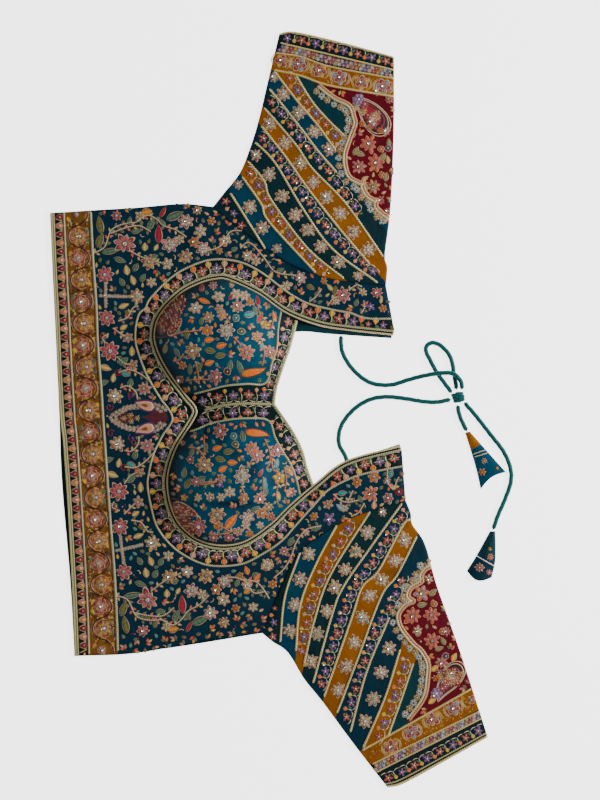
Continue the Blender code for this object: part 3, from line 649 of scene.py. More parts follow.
def sewFlowers(work, places, radius, petals=5, turn=0.0, heart="yellow", inner="cream", tips="red",
               others=None, edge="shell", relief=0.9, full=0.4):
    # each flower is a polar grid. Its outline rises from a valley to a point at each petal; its
    # height is a dome on each petal, with a thread couched round every petal and a knot at the heart
    places = np.atleast_2d(np.asarray(places, float))
    radius, turn = (np.broadcast_to(np.asarray(value, float), len(places)) for value in (radius, turn))
    depth = 1.04 * readMap(work[1], *places.T)[:, 3]
    kept = np.flatnonzero((depth >= radius) | (depth > 2.6))
    radius = np.minimum(radius, np.maximum(depth, 0.5))
    if not len(kept):
        return
    count = len(kept)
    heart, inner, tips, others, edge = (asColours(value, len(places))[kept][:, None]
                                        for value in (heart, inner, tips, others or tips, edge))
    places, radius, turn = places[kept], radius[kept], turn[kept]
    angle = circle(petals * (6 if radius.max() > 3 else 4))
    part = angle / (2 * np.pi) * petals
    crest = 1 - 2 * np.abs(part - np.round(part))
    petal = np.round(part).astype(int) % petals
    share = np.array([0.15, 0.24, 0.44, 0.74, 0.84, 0.91, 1.0])[:, None]
    rise = np.array([1.0, 0.2, 0.75, 0.8, 0.25, 0.75, -0.08])[:, None]
    valley = crest < 0.1
    dome = np.where(valley, 0.75, 0.25 + 0.75 * crest)
    lift = relief * rise * np.where(share < 0.3, 1, dome)
    wave = 1 - full + full * crest ** 0.8
    blend = np.clip(share * 2.2, 0, 1)
    uneven = (1 + 0.09 * chance.standard_normal((count, petals)))[:, petal][:, None]
    reach = share * (wave * blend + 0.8 * (1 - blend)) * (1 + (uneven - 1) * np.clip(2 * share - 0.6, 0, 1))
    x, y = roundPlaces(places, radius[:, None, None] * reach, turn[:, None, None] + angle)
    # painted shade: the petals' colours darken towards the valleys between petals
    shade = (0.15 + 0.85 * crest)[None, :, None]
    tone = (1 + 0.2 * chance.standard_normal((count, petals)))[:, petal][..., None]
    tip = np.where((petal % 2 == 1)[None, :, None], others, tips) * shade * tone
    middle, thread = inner * shade * (2 - tone), np.broadcast_to(edge, tip.shape)
    # the valleys take the outline thread's colour, dimmed on small flowers to painted shade between the
    # petals
    web = np.where(radius > 6, 0.7, 0.15)[:, None, None]
    tip, middle = (np.where(valley[None, :, None], web * thread, value) for value in (tip, middle))
    # the dark ring between fill and outline is painted shade in that gap; a dark ring also parts the heart
    # from the petals, and the outline darkens at its rim
    rings = [np.broadcast_to(heart, tip.shape), middle * 0.25, middle, tip, tip * 0.3, thread, thread * 0.4]
    tint = np.concatenate([heart, np.stack(rings, axis=1).reshape(count, -1, 3)], axis=1)
    layOn(work, x, y, lift, poledFaces(len(share), len(angle), count), tint,
          poles=(*places.T, np.full(count, relief)))


def sewLeaves(work, places, length, width, turn, fill="olive", edge="cream", rib=None, belly=0.8,
              relief=0.7):
    # each leaf is a grid along and across: its width is a sine wave with its belly moved along,
    # its height a dome that sinks at the rib and rises in a cord round the edge
    places = np.atleast_2d(np.asarray(places, float))
    length, width, turn = (np.broadcast_to(np.asarray(value, float), len(places))
                           for value in (length, width, turn))
    kept = inPanel(work[1], places, 0.4 * length)
    if not kept.any():
        return
    fill, edge, rib = (asColours(value, len(places))[kept] for value in (fill, edge, rib or fill))
    places, length, width, turn = (value[kept] for value in (places, length, width, turn))
    s = np.linspace(0, 1, 10)
    t = np.array([-1.0, -0.87, -0.72, -0.4, 0.0, 0.4, 0.72, 0.87, 1.0])
    broad = np.maximum(np.sin(np.pi * s ** belly) ** 0.85, 0.05)
    rise = np.array([-0.08, 0.7, 0.35, 0.85, 0.55, 0.85, 0.35, 0.7, -0.08])
    cos, sin = np.cos(turn)[:, None, None], np.sin(turn)[:, None, None]
    long = length[:, None, None] * (s - 0.5)[None, :, None]
    across = width[:, None, None] / 2 * broad[None, :, None] * t[None, None, :]
    x = places[:, 0, None, None] + long * cos - across * sin
    y = places[:, 1, None, None] + long * sin + across * cos
    bands = [edge * 0.4, edge, fill * 0.25, fill, rib * 1.3, fill, fill * 0.25, edge, edge * 0.4]
    stitch = 1 + 0.22 * np.cos(np.pi * np.arange(len(s)))[None, :, None, None] * (np.abs(t) < 0.8)[:, None]
    tint = np.broadcast_to(np.stack(bands, axis=1)[:, None], x.shape + (3,)) * stitch
    layOn(work, x, y, relief * rise[None] * (0.35 + 0.65 * broad[:, None]),
          quadsOf(len(s), len(t), count=len(places))[:, ::-1], tint)


def sewCord(work, path, radius=1.3, tones="gold olive", pitch=4.2, step=None, beads=0.0, lift=0.0,
            straight=False):
    # a cord couched along a line: half an oval carried along it, swelling with its two plies,
    # or with beads that follow one another
    path = everyStep(path, step or max(0.7, pitch / 5), straight)
    kept = np.flatnonzero(inPanel(work[1], path, 0.7 * radius))
    if len(kept) < 4:
        return
    path = path[kept[0]:kept[-1] + 1]
    run = runOf(path)
    base, up = onSurface(work[1], *path.T, np.full(len(path), lift - 0.15 * radius))
    side = unit(np.cross(up, unit(np.gradient(base, axis=0))))
    turn = np.linspace(0, np.pi, 6)[None]
    phase = np.sin(2 * turn + 2 * np.pi * run[:, None] / pitch)
    swell = 1 + 0.24 * phase
    if beads:
        phase = np.abs(np.sin(np.pi * run[:, None] / beads)) * 2 - 1 + 0 * turn
        swell = 0.75 + 0.3 * phase
    ring = radius * swell * np.clip(np.minimum(run, run[-1] - run) / radius, 0.12, 1)[:, None]
    points = (base[:, None] + (ring * np.cos(turn))[..., None] * side[:, None]
              + (1.1 * ring * np.sin(turn))[..., None] * up[:, None])
    # painted highlight and shade: the colour follows the twist, the first tone on each ply's crest or bead,
    # the darker second one in the grooves between
    tint = blendColours(tones, np.clip(0.5 + 0.55 * phase, 0, 1))
    addTo(work[0], points, quadsOf(len(path), turn.shape[1])[:, ::-1], tint)


def sewBeads(work, places, radius=1.2, colours="cream", relief=1.0):
    # little domes: a pole and three rings, each bead's height the cosine of its polar angle
    places = asPlaces(work, places, 1.8)
    count = len(places)
    if not count:
        return
    polar = np.array([0.6, 1.1, 1.5])[:, None]
    x, y = roundPlaces(places, radius * np.sin(polar), circle(7))
    tint = np.broadcast_to(asColours(colours, count)[:, None], (count, 22, 3))
    layOn(work, x, y, radius * relief * (np.cos(polar) - 0.1), poledFaces(3, 7, count), tint,
          poles=(*places.T, np.full(count, 0.9 * relief * radius)))


def sewSequins(work, places, radius=1.7, colours="white", lift=0.9, tilt=0.2):
    # dished discs, each leaning its own way: height grows with the square of the radius
    places = asPlaces(work, places, 1.4)
    count, angle = len(places), circle(10)
    if not count:
        return
    share = np.array([0.14, 0.5, 0.85, 1.0])[:, None]
    x, y = roundPlaces(places, radius * share, angle)
    lean = chance.uniform(-tilt, tilt, (2, count, 1, 1))
    rise = lift + radius * (0.3 * share ** 2 + lean[0] * share * np.cos(angle)
                            + lean[1] * share * np.sin(angle))
    tint = np.broadcast_to(asColours(colours, count)[:, None, None], x.shape + (3,))
    layOn(work, x, y, rise, quadsOf(4, 10, wrap=True, count=count), tint)


def spots(path, pitch, start=0.0, off=0.0, straight=False):
    # places along a line a pitch apart, moved to its left, with the line's direction at each
    fine = evenly(path, 400, straight)
    moved, run = sideways(fine, off), runOf(fine)
    at = np.arange(start, run[-1], pitch)
    along = np.gradient(fine, axis=0)
    heading = np.unwrap(np.arctan2(along[:, 1], along[:, 0]))
    return np.stack([np.interp(at, run, column) for column in moved.T], axis=1), np.interp(at, run, heading)


# the two ties, their knot and the bow's loop: plan points, with a height where a tie is lifted
dori = {"diameter": 4.8, "clear": 0.05, "step": 2.4, "wrinkle": 0.05, "wrinklePitch": 9.0}
doriRoutes = {
    "doriRight": [
        (75.5, 77.8), (77.4, 59.5), (88.8, 41.2), (106.4, 28), (127.3, 25.5), (146.2, 30.8, 3.2),
        (160, 34.5, 5.4), (173, 37, 7.7), (184, 38.2, 7.7), (193.5, 37.2, 7.7), (200.2, 31.5, 7),
        (202.6, 25, 6), (202.6, 20.2, 5.1)],
    "doriLeft": [
        (82.4, -58.8), (80.4, -49.5), (73.5, -35.4), (75.9, -17.6), (88.5, -0.8), (105.3, 9.8), (123.1, 13),
        (143.1, 11.2), (162, 8.1), (177.7, 7.6), (191.5, 10.6)],
    "doriLoop": [
        (192.4, 16.8), (185.5, 26), (176.7, 38.1), (169.3, 51.7), (164.8, 61.5), (167, 68), (173.5, 69.8),
        (180.9, 66.4), (188.8, 58), (192.6, 48.6), (194.2, 38.1), (196.2, 27.5), (197.1, 20.2)],
    "doriEndRight": [(197.9, 4.8), (200.8, -8.1), (208, -23.4)],
    "doriEndLeft": [
        (204.8, 7.6), (216.6, -6), (232.3, -26), (246, -43.8), (253.3, -60.6), (254, -76.4), (247.6, -95.3),
        (240.7, -111), (235.4, -126.6)],
}


def makeDori(name):
    # a rolled bias tube: a round section carried along the route, with a slow helical wrinkle
    radius = dori["diameter"] / 2
    path = everyStep([(*place, radius + dori["clear"])[:3] for place in doriRoutes[name]], dori["step"])
    points, faces, _ = carried(path, radius, radius, around=14, pitch=dori["wrinklePitch"], plies=1,
                               twist=dori["wrinkle"], blunt=0.6)
    return makePiece(name, points, faces, finishes["tie"]), path


# the knot: a rounded lump, and the height and place of each turn of the tie round it
knot = {"place": (198.9, 12.6, 4.5), "axis": (-0.35, 0.94, 0.0), "across": 5.0, "high": 2.05, "turns": 2.6,
        "spread": 8.4, "radius": 2.0, "floor": 0.15, "lump": (6.2, 6.0, 3.6)}


def makeKnot():
    # turns of the tie as a flat helix: an oval ring whose centre moves along the knot's axis
    turn = np.linspace(0, 2 * np.pi * knot["turns"], 90)
    share, axis = turn / turn[-1] - 0.5, np.array(knot["axis"])
    flat = (share[:, None] * knot["spread"] * axis[:2]
            - knot["across"] * np.cos(turn)[:, None] * leftOf(axis[:2]))
    path = np.column_stack([flat + knot["place"][:2], knot["place"][2] + knot["high"] * np.sin(turn)])
    run = runOf(path)
    along = unit(np.gradient(path, axis=0))
    level = unit(axis - (along @ axis)[:, None] * along)
    near = np.clip(np.minimum(run, run[-1] - run) / knot["radius"], 0.05, 1)[:, None]
    size = knot["radius"] * np.sqrt(1 - (1 - near) ** 2)
    rings = (path[:, None] + (size * np.cos(circle(12)))[..., None] * level[:, None]
             + (0.9 * size * np.sin(circle(12)))[..., None] * np.cross(along, level)[:, None])
    rings[..., 2] = np.maximum(rings[..., 2], knot["floor"])
    rings = rings.reshape(-1, 3)
    turns = outwards(rings, [quadsOf(len(path), 12, wrap=True)])[0]

    # the lump is an ellipsoid: ten rings of twenty points, and its two poles
    polar, first = np.linspace(0, np.pi, 12)[1:-1, None], np.arange(20)
    lump = np.dstack([*(np.sin(polar) * part(circle(20)) for part in (np.cos, np.sin)),
                      np.cos(polar) + 0 * first])
    lump = np.vstack([lump.reshape(-1, 3), [[0, 0, 1], [0, 0, -1]]]) * knot["lump"] + knot["place"]
    body = outwards(lump, [quadsOf(10, 20, wrap=True), capFaces(200, first),
                           capFaces(201, first + 180)[:, ::-1]])
    faces = [np.vstack([turns, body[0] + len(rings)]), np.vstack(body[1:]) + len(rings)]
    return makePiece("doriKnot", np.vstack([rings, lump]), faces, finishes["tie"])


# the latkans: left and right edges from the tie down, the belly of the lower edge and the bands
latkan = {"rows": 40, "columns": 26, "hair": 0.1, "edge": 1.2, "thick": 4.6}
latkans = {
    "Right": {"edges": [(206, -24.6, 211, -23.2), (212.5, -45, 224, -38), (218, -64, 236, -51.5),
                        (222.5, -84, 249, -66)],
              "belly": -4.0, "base": "teal", "bands": [(0, "ochre"), (0.30, "tealBright")]},
    "Left": {"edges": [(232.2, -128, 237.8, -128), (224, -143, 238.2, -145), (216, -157, 237.6, -161),
                       (208, -169.5, 234, -176.5)],
             "belly": 7.0, "base": "deep", "bands": [(0, "deep"), (0.55, "teal")]},
}


def makeLatkan(side):
    # a folded triangle: its height is a sine wave across, with soft creases from the tie down
    looks = latkans[side]
    along, across = (np.linspace(0, 1, latkan[key]) for key in ("rows", "columns"))
    left, right = (smoothThrough([row[k:k + 2] for row in looks["edges"]], along * 3) for k in (0, 2))
    middle = (left[-1] + right[-1]) / 2 - (left[0] + right[0]) / 2
    away = along[None] ** 3 * np.sin(np.pi * across)[:, None] * looks["belly"]
    flat = acrossRails(left, right, across) + away[..., None] * middle / np.linalg.norm(middle)
    swell = np.sin(np.pi * across)[:, None] ** 0.6 * np.ones(len(along))[None]
    crease = 0.10 * np.cos(2 * np.pi * 3 * across)[:, None] * (1 - along[None]) * swell
    high = latkan["hair"] + latkan["edge"] + (latkan["thick"] - latkan["edge"] - latkan["hair"]) \
        * np.clip(swell - np.abs(crease) * 1.5, 0, 1)
    top = np.dstack([flat, high])
    share = np.broadcast_to(along[None], swell.shape)
    finish = satin("latkan" + side + "Satin", looks["base"], [("share", 0, 1, looks["bands"])])
    piece = makeWall("latkan" + side, top, np.dstack([flat, np.full_like(swell, latkan["hair"])]), finish,
                     {"share": share})
    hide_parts("latkan_" + side.lower())
    return piece, top


def makeTies():
    shown = {name: makeDori(name) for name in doriRoutes}
    knotPiece = makeKnot()
    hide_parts("dori_knot")
    hung = {side: makeLatkan(side) for side in sides}
    ends = {"doriRight": ("dori_right", "knot", [knotPiece]), "doriLeft": ("dori_left", "knot", []),
            "doriLoop": ("dori_loop", "knot", []),
            "doriEndRight": ("dori_end_right", "fitting", [hung["Right"][0]]),
            "doriEndLeft": ("dori_end_left", "fitting", [hung["Left"][0]])}
    for name, (piece, path) in shown.items():
        node, farEnd, carries = ends[name]
        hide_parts(node)
        print("  " + name, round(runOf(path)[-1]), "mm")
    return {side: top for side, (_, top) in hung.items()}


latkanTops = makeTies()
print("ties, knot and latkans")


# front and back panels
panel = {"base": 1.8, "thick": 1.5, "step": 4.5, "rows": 46, "lift": 3.0, "lead": 1.4, "ramp": 2.4,
         "inset": 2.6, "binding": 7.0, "pucker": 0.3, "backTop": 1.5, "backStep": 6.0}
# the gold cord round the neckline band, from the left shoulder round to the right one
bandLine = evenly([
    (142, -59.5), (103, -67), (84.5, -73), (62, -85), (45.5, -102.5), (28.5, -121.5), (13, -138.5),
    (-7, -152), (-26, -161.5), (-48, -164.5), (-68, -162.5), (-87, -154), (-102.5, -142.5), (-116.5, -124.5),
    (-122.5, -106), (-127, -81.5), (-125.5, -66), (-120.5, -46), (-111, -27), (-101, -9), (-114, 12),
    (-127, 34), (-135, 54), (-139.5, 69.5), (-139.5, 85.5), (-136, 100), (-129, 106.5), (-125.5, 114.5),
    (-111, 130.5), (-95.5, 143), (-78.5, 151.5), (-62.5, 156.5), (-45, 157), (-26, 153), (-7, 143),
    (9.5, 130.5), (25.5, 119), (42.5, 110.5), (66.5, 104.5), (85.5, 101), (96, 97), (107.5, 95),
    (128.5, 95)], 240)
# the gold cord over the hem's band, from the right side to the left one
hemTop = evenly([
    (-187, 208), (-184.5, 158), (-181, 109.5), (-179.5, 69.5), (-176, 23.5), (-173, -22), (-169, -78.5),
    (-166, -120.5), (-162, -170), (-159.5, -220), (-158.5, -254)], 160)
hemEdge = evenly([row[3:5] for row in frontSections[9:23]], 160)


def puckers(x, y):
    # the small unevenness of stitched cloth: a product of two slow waves, bent by a third
    bend = 3 * np.sin(x / 23.0) + 4 * np.sin(y / 31.0)
    return panel["pucker"] * (1 + np.sin((x + bend) / 6.3) * np.sin((y - bend) / 7.1)) / 2


def neckLine(step=2.5):
    # the neckline, and how far it rises over the cups, from the cups' ends
    neck, _, fractions = sectionRails(frontSections, step)
    first, last = ([row[0] for row in frontSections].index(side + " cup end") for side in ("right", "left"))
    into = np.minimum(fractions - first, last - fractions) + panel["lead"]
    return neck, panel["lift"] * np.clip(into / panel["ramp"], 0, 1) ** 1.2


def hemShare(points):
    # 0 at the hem's edge and 1 at the band's upper cord
    far, near = distanceTo(hemEdge, points), -signedTo(hemTop, points)
    return np.where(near > 0, far / np.maximum(far + near, 1e-6), 1 - near / 40.0)


def hemAt(share):
    return hemEdge * (1 - share) + hemTop * share


def makeFront():
    neck, edge, _ = sectionRails(frontSections, panel["step"])
    curve, lift = neckLine()
    shares = np.linspace(0, 1, panel["rows"]) ** 1.25
    flat = acrossRails(sideways(neck, -panel["inset"]), edge, shares)
    nearest = np.linalg.norm(neck[:, None] - curve[None], axis=2).argmin(axis=1)
    rise = lift[nearest][None] * (1 - shares[:, None]) ** 2
    x, y = flat[..., 0], flat[..., 1]
    away = np.sin(np.pi * shares[:, None])
    under = panel["base"] + rise + (foldHeight("front", x, y) + puckers(x, y)) * away
    top = np.dstack([flat, under + panel["thick"]])
    finish = satin("frontSatin", "teal", [("band", -10, 10, [(-10, "dark"), (0.0, None)]),
                                          ("hem", 0, 12, [(0, "hemDark"), (3.45, "hemGold"), (10.0, None)])])
    made = makeWall("frontPanel", top, np.dstack([flat, under]), finish,
                    {"band": np.clip(signedTo(bandLine, flat), -50, 50),
                     "hem": np.clip(10 * hemShare(flat), 0, 30)})
    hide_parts("front_body")
    return made, top


def makeBack():
    # flat walls between rails; the binding's long edges are rolled down a little
    neck, edge, _ = sectionRails(backSections, panel["backStep"])
    strip = sideways(neck, -panel["binding"])
    made = []
    for name, inner, outer, rows, rolled, finish, node, slot in (
            ("backNeckBinding", neck, strip, 7, 0.35, satin("facingSatin", "deep"), "back_neck_binding",
             "facing"),
            ("backPanel", strip, edge, 26, 0.0, satin("liningSatin", "lining"), "back_body",
             "printed_satin_back")):
        shares = np.linspace(0, 1, rows)
        flat = acrossRails(inner, outer, shares)
        level = np.zeros(flat.shape[:2])
        high = level + panel["backTop"] - rolled * np.abs(2 * shares - 1)[:, None] ** 6
        piece = makeWall(name, np.dstack([flat, high]), np.dstack([flat, level]), finish)
        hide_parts(node)
        made.append(piece)
    return made


# the corded piping along the neckline, between an outer and an inner gold cord
piping = {"wide": 2.1, "high": 1.5, "hair": 0.1, "outer": 1.3, "inner": 1.1, "apart": 1.7, "pitch": 2.6,
          "edgeWide": 2.0, "edgeHigh": 1.5, "edgeDrop": 1.0, "edgeStart": 0.4, "onward": 1.7}


def makeNeckPiping():
    neck, lift = neckLine(2.0)
    height = panel["base"] + piping["high"] + piping["hair"] + lift
    points, faces, _ = carried(np.column_stack([neck, height]), piping["wide"], piping["high"], around=12)
    tube = makePiece("neckPiping", points, faces, finishes["lining"])
    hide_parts("neck_piping")
    # each cord's tones: a painted highlight on its crests, then painted shade in its grooves
    for name, hand, tones in (("Outer", -1, "pale sage"), ("Inner", 1, "cream gold")):
        radius = piping[name.lower()]
        line = everyStep(np.column_stack([sideways(neck, hand * piping["apart"]), height + 0.6]), 0.6)
        points, faces, share = carried(line, radius, radius, around=8, pitch=piping["pitch"], twist=0.2)
        cord = makePiece("neckCord" + name, points, faces, finishes["zari"], tint=blendColours(tones, share))


# the padded cups
# the cups' ground carries painted shade: a band about 11 mm wide along the sewn edge, fading in from x = -12
# mm to full strength at x = -62 mm towards the hem
cup = {"padding": 2.6, "height": 34.0, "shoulder": 52.0, "slope": 62.0, "edgeShare": 0.38,
       "seamShare": 0.30, "rim": 5.6, "paintedHollowShade": 11.0, "light": -12.0, "gap": 0.2, "rows": 64, "notch": 0.58,
       "start": {"Right": (16.0, 105.0), "Left": (42.0, -88.5)}, "point": (-77.5, -2.5)}
cupTopEdge = {
    "Right": [(28, 94.4), (24, 78.6), (19.2, 61.2), (12.8, 43.8), (6.2, 22.5), (3.6, 5.2)],
    "Left": [(45, -80.8), (38, -61.5), (33.6, -44.5), (25.2, -27), (13.8, -9.8), (3.6, 4.8)],
}
centreSeam = [(3.6, 5), (-23, 6), (-45, 4.5), (-58, 1.5), (-68, -1)]
# the thin gold cords that part each cup's field from the bands along its edges
cupBands = {
    "Right": [
        (13, 103), (10, 85.5), (8.5, 64.5), (3.5, 48.5), (-3.5, 27.5), (-23, 26.5), (-45, 24.5), (-62.5, 20),
        (-78.5, 16)],
    "Left": [
        (-83, -23.5), (-74, -20.5), (-62.5, -15.5), (-45, -11.5), (-26, -9.5), (-1, -11.5), (6.5, -29),
        (14, -43), (22.5, -56.5), (28.5, -72), (33, -90)],
}


def handOf(side):
    return 1 if side == "Right" else -1


def cupRails(side):
    # the sewn edge, and the top edge with the centre seam after its notch, point for point
    neck, _ = neckLine()
    beside = sideways(neck, panel["inset"] + 0.05)
    start, end = (np.linalg.norm(neck - np.array(place), axis=1).argmin()
                  for place in (cup["start"][side], cup["point"]))
    base = beside[start:end + 1] if side == "Right" else beside[end:start + 1][::-1]
    apart = np.array([0.0, handOf(side) * cup["gap"]])
    base = np.vstack([base[:-1], base[-1:] + apart])
    notch = int(round(len(base) * cup["notch"]))
    top = evenly(cupTopEdge[side], notch)
    seam = evenly(centreSeam, len(base) - notch + 1) + apart
    return base, np.vstack([top[:-1], seam]), notch


def fallTo(distance, share):
    return share + (1 - share) * np.sin(np.clip(distance / cup["slope"], 0, 1) * np.pi / 2) ** 1.15


def cupSurface(side):
    # a dome that rises steeply from the sewn edge and falls gently to the top edge and the seam
    base, topEdge, notch = cupRails(side)
    flat = acrossRails(base, topEdge, np.linspace(0, 1, cup["rows"]) ** 1.2)
    number = np.arange(len(base))
    alongTop = np.clip(number / (notch - 1), 0, 1)
    alongSeam = np.clip((number - notch + 1) / (len(base) - notch), 0, 1)
    topShare = cup["edgeShare"] * np.sin(np.pi / 2 * np.clip(1.5 * alongTop, 0, 1))
    seamShare = cup["seamShare"] * np.cos(np.pi / 2 * alongSeam) ** 0.6
    sewn = np.vstack([topEdge[:1], base, topEdge[-1:]])

    def height(plan):
        nearBase = np.clip(distanceTo(sewn, plan) / cup["shoulder"], 0, 1)
        dome = cup["height"] * (1 - (1 - nearBase) ** 2.2) ** 0.7
        dome = dome * fallTo(distanceTo(topEdge[:notch], plan), topShare[None])
        dome = dome * fallTo(distanceTo(topEdge[notch - 1:], plan), seamShare[None])
        return cup["rim"] + dome + foldHeight("cup" + side, plan[..., 0], plan[..., 1])

    level = height(flat)
    slopes = [(height(flat + 0.05 * step) - height(flat - 0.05 * step)) / 0.1 for step in np.eye(2)]
    normals = unit(np.dstack([-slopes[0], -slopes[1], np.ones(level.shape)]))
    normals[0] = normals[1]
    normals[:, 0], normals[:, -1] = normals[:, 1], normals[:, -2]
    return np.dstack([flat, level]), normals, notch


def makeCup(side):
    top, normals, notch = cupSurface(side)
    bottom = top - cup["padding"] * normals
    bottom[..., 2] = np.maximum(bottom[..., 2], panel["base"] + piping["hair"])
    flat, x, y = top[..., :2], top[..., 0], top[..., 1]
    # painted shade: the cloth's colour is darkened along the sewn edge on the hem's side, where the dome
    # turns from the light, and in the folds' troughs
    paintedHollowShade = np.exp(-(distanceTo(cupRails(side)[0], flat) / cup["paintedHollowShade"]) ** 2)
    paintedHollowShade *= np.clip((cup["light"] - x) / 50, 0, 1)
    shade = (1 - 0.62 * paintedHollowShade) * (1 + 0.2 * np.clip(foldHeight("cup" + side, x, y), -4, 0))
    band = np.clip(signedTo(evenly(cupBands[side], 120), flat), -50, 50)
    finish = satin("cupSatin" + side, "tealBright", [("band", -10, 10, [(-10, None), (0.0, "dark")])],
                   shaded=True, mottle=1.1)
    piece = makeWall("cup" + side, top, bottom, finish, {"band": band, "shade": shade})
    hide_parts("cup_" + side.lower())
    rim, reach = top[-1, :notch], piping["edgeWide"] - 1.0
    line = np.column_stack([sideways(rim, handOf(side) * reach), rim[:, 2] - piping["edgeDrop"]])
    line = np.vstack([line, line[-1] + piping["onward"] * unit(line[-1] - line[-2])])
    line = atRun(line, np.arange(piping["edgeStart"], runOf(line)[-1], 0.8))
    # the twist's share colours the piping with painted highlight on its crests and painted shade in its
    # grooves
    points, faces, share = carried(line, piping["edgeWide"], piping["edgeHigh"], pitch=3.0)
    edging = makePiece("cupPiping" + side, points, faces, finishes["zari"],
                       tint=blendColours("pale sage", share))
    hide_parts("cup_piping_" + side.lower())
    return top


# the sleeves: sections from the underarm to the top fold, and the cuffs' lines
sleeve = {"puff": 2.6, "width": 165.0, "turn": 1.7, "thick": 1.2, "rows": 70, "columns": 60}
sleeveSections = {
    "Right": [
        (-58.5, 212.5, 123, 129.5), (-47, 227, 124.5, 148.5), (-30, 249, 122, 162), (-18, 279, 127, 202),
        (-9.5, 308, 130, 250), (-1, 344, 131.5, 308), (11, 394, 131.5, 370)],
    "Left": [
        (-7, -235, 143.5, -95), (4, -244, 149, -109), (20, -255.5, 151, -121), (37, -283, 164, -141.5),
        (57, -308, 176.5, -185), (88, -350, 201.5, -256), (124.5, -397, 230, -344)],
}
cuffs = {
    "Right": [(11, 394), (28, 396), (79, 384.5), (131.5, 370)],
    "Left": [(124.5, -397), (142, -392.5), (188, -367.5), (230, -344)],
}
# the gold cords that part the slanting stripes, from the underarm towards the shoulder
stripeCords = {
    "Right": [
        [(-40.5, 227), (-1, 164)], [(-28, 244), (-8, 215.5), (0.5, 196.5), (49.5, 143)],
        [(-22, 260.5), (-5, 239.5), (2.5, 219.5), (41, 168.5), (79, 137)],
        [(-14.5, 280.5), (6.5, 258.5), (35, 211.5), (66.5, 168.5), (114.5, 132.5)],
        [(-8, 297.5), (19, 263), (41, 231.5), (77, 186), (106.5, 151.5)],
        [(-5, 316.5), (27.5, 278.5), (45.5, 252.5), (81, 215.5), (120, 160)],
        [(0.5, 336.5), (35, 293), (51.5, 271), (71.5, 248)],
        [(5.5, 355), (30.5, 322.5), (51.5, 297.5), (70.5, 271)],
        [(28.5, 350), (45.5, 322.5), (62, 303.5), (79, 287)]],
    "Left": [
        [(12, -244.5), (17, -196), (33, -150)], [(28.5, -254), (33, -205.5), (49.5, -162.5), (71.5, -121.5)],
        [(37, -267.5), (47.5, -222.5), (64.5, -174), (106.5, -107)],
        [(46.5, -287.5), (66.5, -215), (78, -186.5), (103, -150), (140, -98.5)],
        [(58, -302), (86.5, -220), (98, -186.5), (114.5, -170), (134.5, -133), (139.5, -124), (144, -117.5),
         (149, -115.5)], [(71.5, -319), (93.5, -261), (118, -196), (134.5, -174), (155.5, -133)],
        [(85.5, -339), (103, -274), (126.5, -218)], [(99, -355.5), (122, -302), (138, -251.5)],
        [(125, -343), (139, -304), (151.5, -266.5)]],
}
scallops = {
    "Right": [
        (51.5, 340.5), (68.5, 327), (84.5, 318.5), (89.5, 306), (90.5, 298.5), (85.5, 285), (80, 267),
        (81, 252.5), (85.5, 243), (96, 237.5), (99.5, 238.5), (98.5, 232.5), (103.5, 224), (111.5, 219),
        (113.5, 220), (112.5, 212.5), (120, 205), (127.5, 200)],
    "Left": [
        (173, -164), (165, -167.5), (160, -174.5), (160.5, -180.5), (156, -183.5), (149.5, -187.5),
        (146.5, -193), (147, -198), (152, -201.5), (145.5, -204), (139.5, -209.5), (136, -216),
        (137, -224.5), (141, -232.5), (146, -239), (152.5, -246.5), (160, -253), (165, -261),
        (167.5, -268.5), (167, -279), (163, -302), (146, -326.5)],
}
# where the scalloped line is carried on, beyond the fold and the cuff, to close the maroon field
scallopEnds = {
    "Right": [(145, 188), (145, 370), (40, 350)],
    "Left": [(135, -350), (245, -350), (245, -158), (178, -158)],
}
cuffCords = {
    "Right": [
        [(12, 384.5), (131.5, 356)], [(7.5, 374), (33, 370), (64.5, 359.5), (131.5, 347)],
        [(5.5, 356), (33, 350), (64.5, 339.5), (131.5, 328)]],
    "Left": [[(112.5, -381), (224, -324)], [(108.5, -372.5), (221, -317)], [(98, -358), (212.5, -293.5)]],
}


def sleeveFlat(side, around, along):
    # plan of a sleeve: the surface spanned by its armhole, cuff, underarm edge and top fold
    rows = np.array(sleeveSections[side], float)
    ends = armholeLine(side, 60)[::handOf(side) * -1], evenly(cuffs[side], 60)
    run = np.linspace(0, 1, 60)
    cap, cuff = (np.stack([np.interp(around, run, column) for column in end.T], axis=1) for end in ends)
    station = along * (len(rows) - 1)
    under, top = smoothThrough(rows[:, :2], station), smoothThrough(rows[:, 2:], station)
    under += (cap[0] - under[0]) * (1 - along[:, None]) ** 6
    top += (cap[-1] - top[0]) * (1 - along[:, None]) ** 6
    s, t = around[None, :, None], along[:, None, None]
    corners = ((1 - s) * (1 - t) * cap[0] + s * (1 - t) * cap[-1]
               + (1 - s) * t * cuff[0] + s * t * cuff[-1])
    return (1 - t) * cap[None] + t * cuff[None] + (1 - s) * under[:, None] + s * top[:, None] - corners


def fieldDepth(side, points):
    # distance from the scalloped line, positive in the maroon field
    wave = everyStep(scallops[side], 2.0)
    closed = np.vstack([wave, scallopEnds[side]])
    return distanceTo(wave, points) * np.where(insideOf(closed, points), 1, -1)


def between(values):
    # number of a zone and the share of it that is crossed, from signed distances to its borders
    values = np.stack(values)
    count = (values > 0).sum(axis=0)
    edges = np.concatenate([values[:1] + 40.0, values, values[-1:] - 40.0])
    lower, upper = (np.take_along_axis(edges, count[None] + k, axis=0)[0] for k in (0, 1))
    return count + np.clip(lower / np.maximum(lower - upper, 1e-6), 0, 1)


def ringed(plan, low, high):
    # closed rings of points: along the lower half of a flattened tube and back along the upper
    return np.concatenate([np.dstack([plan, low]), np.dstack([plan, high])[:, -2:0:-1]], axis=1)


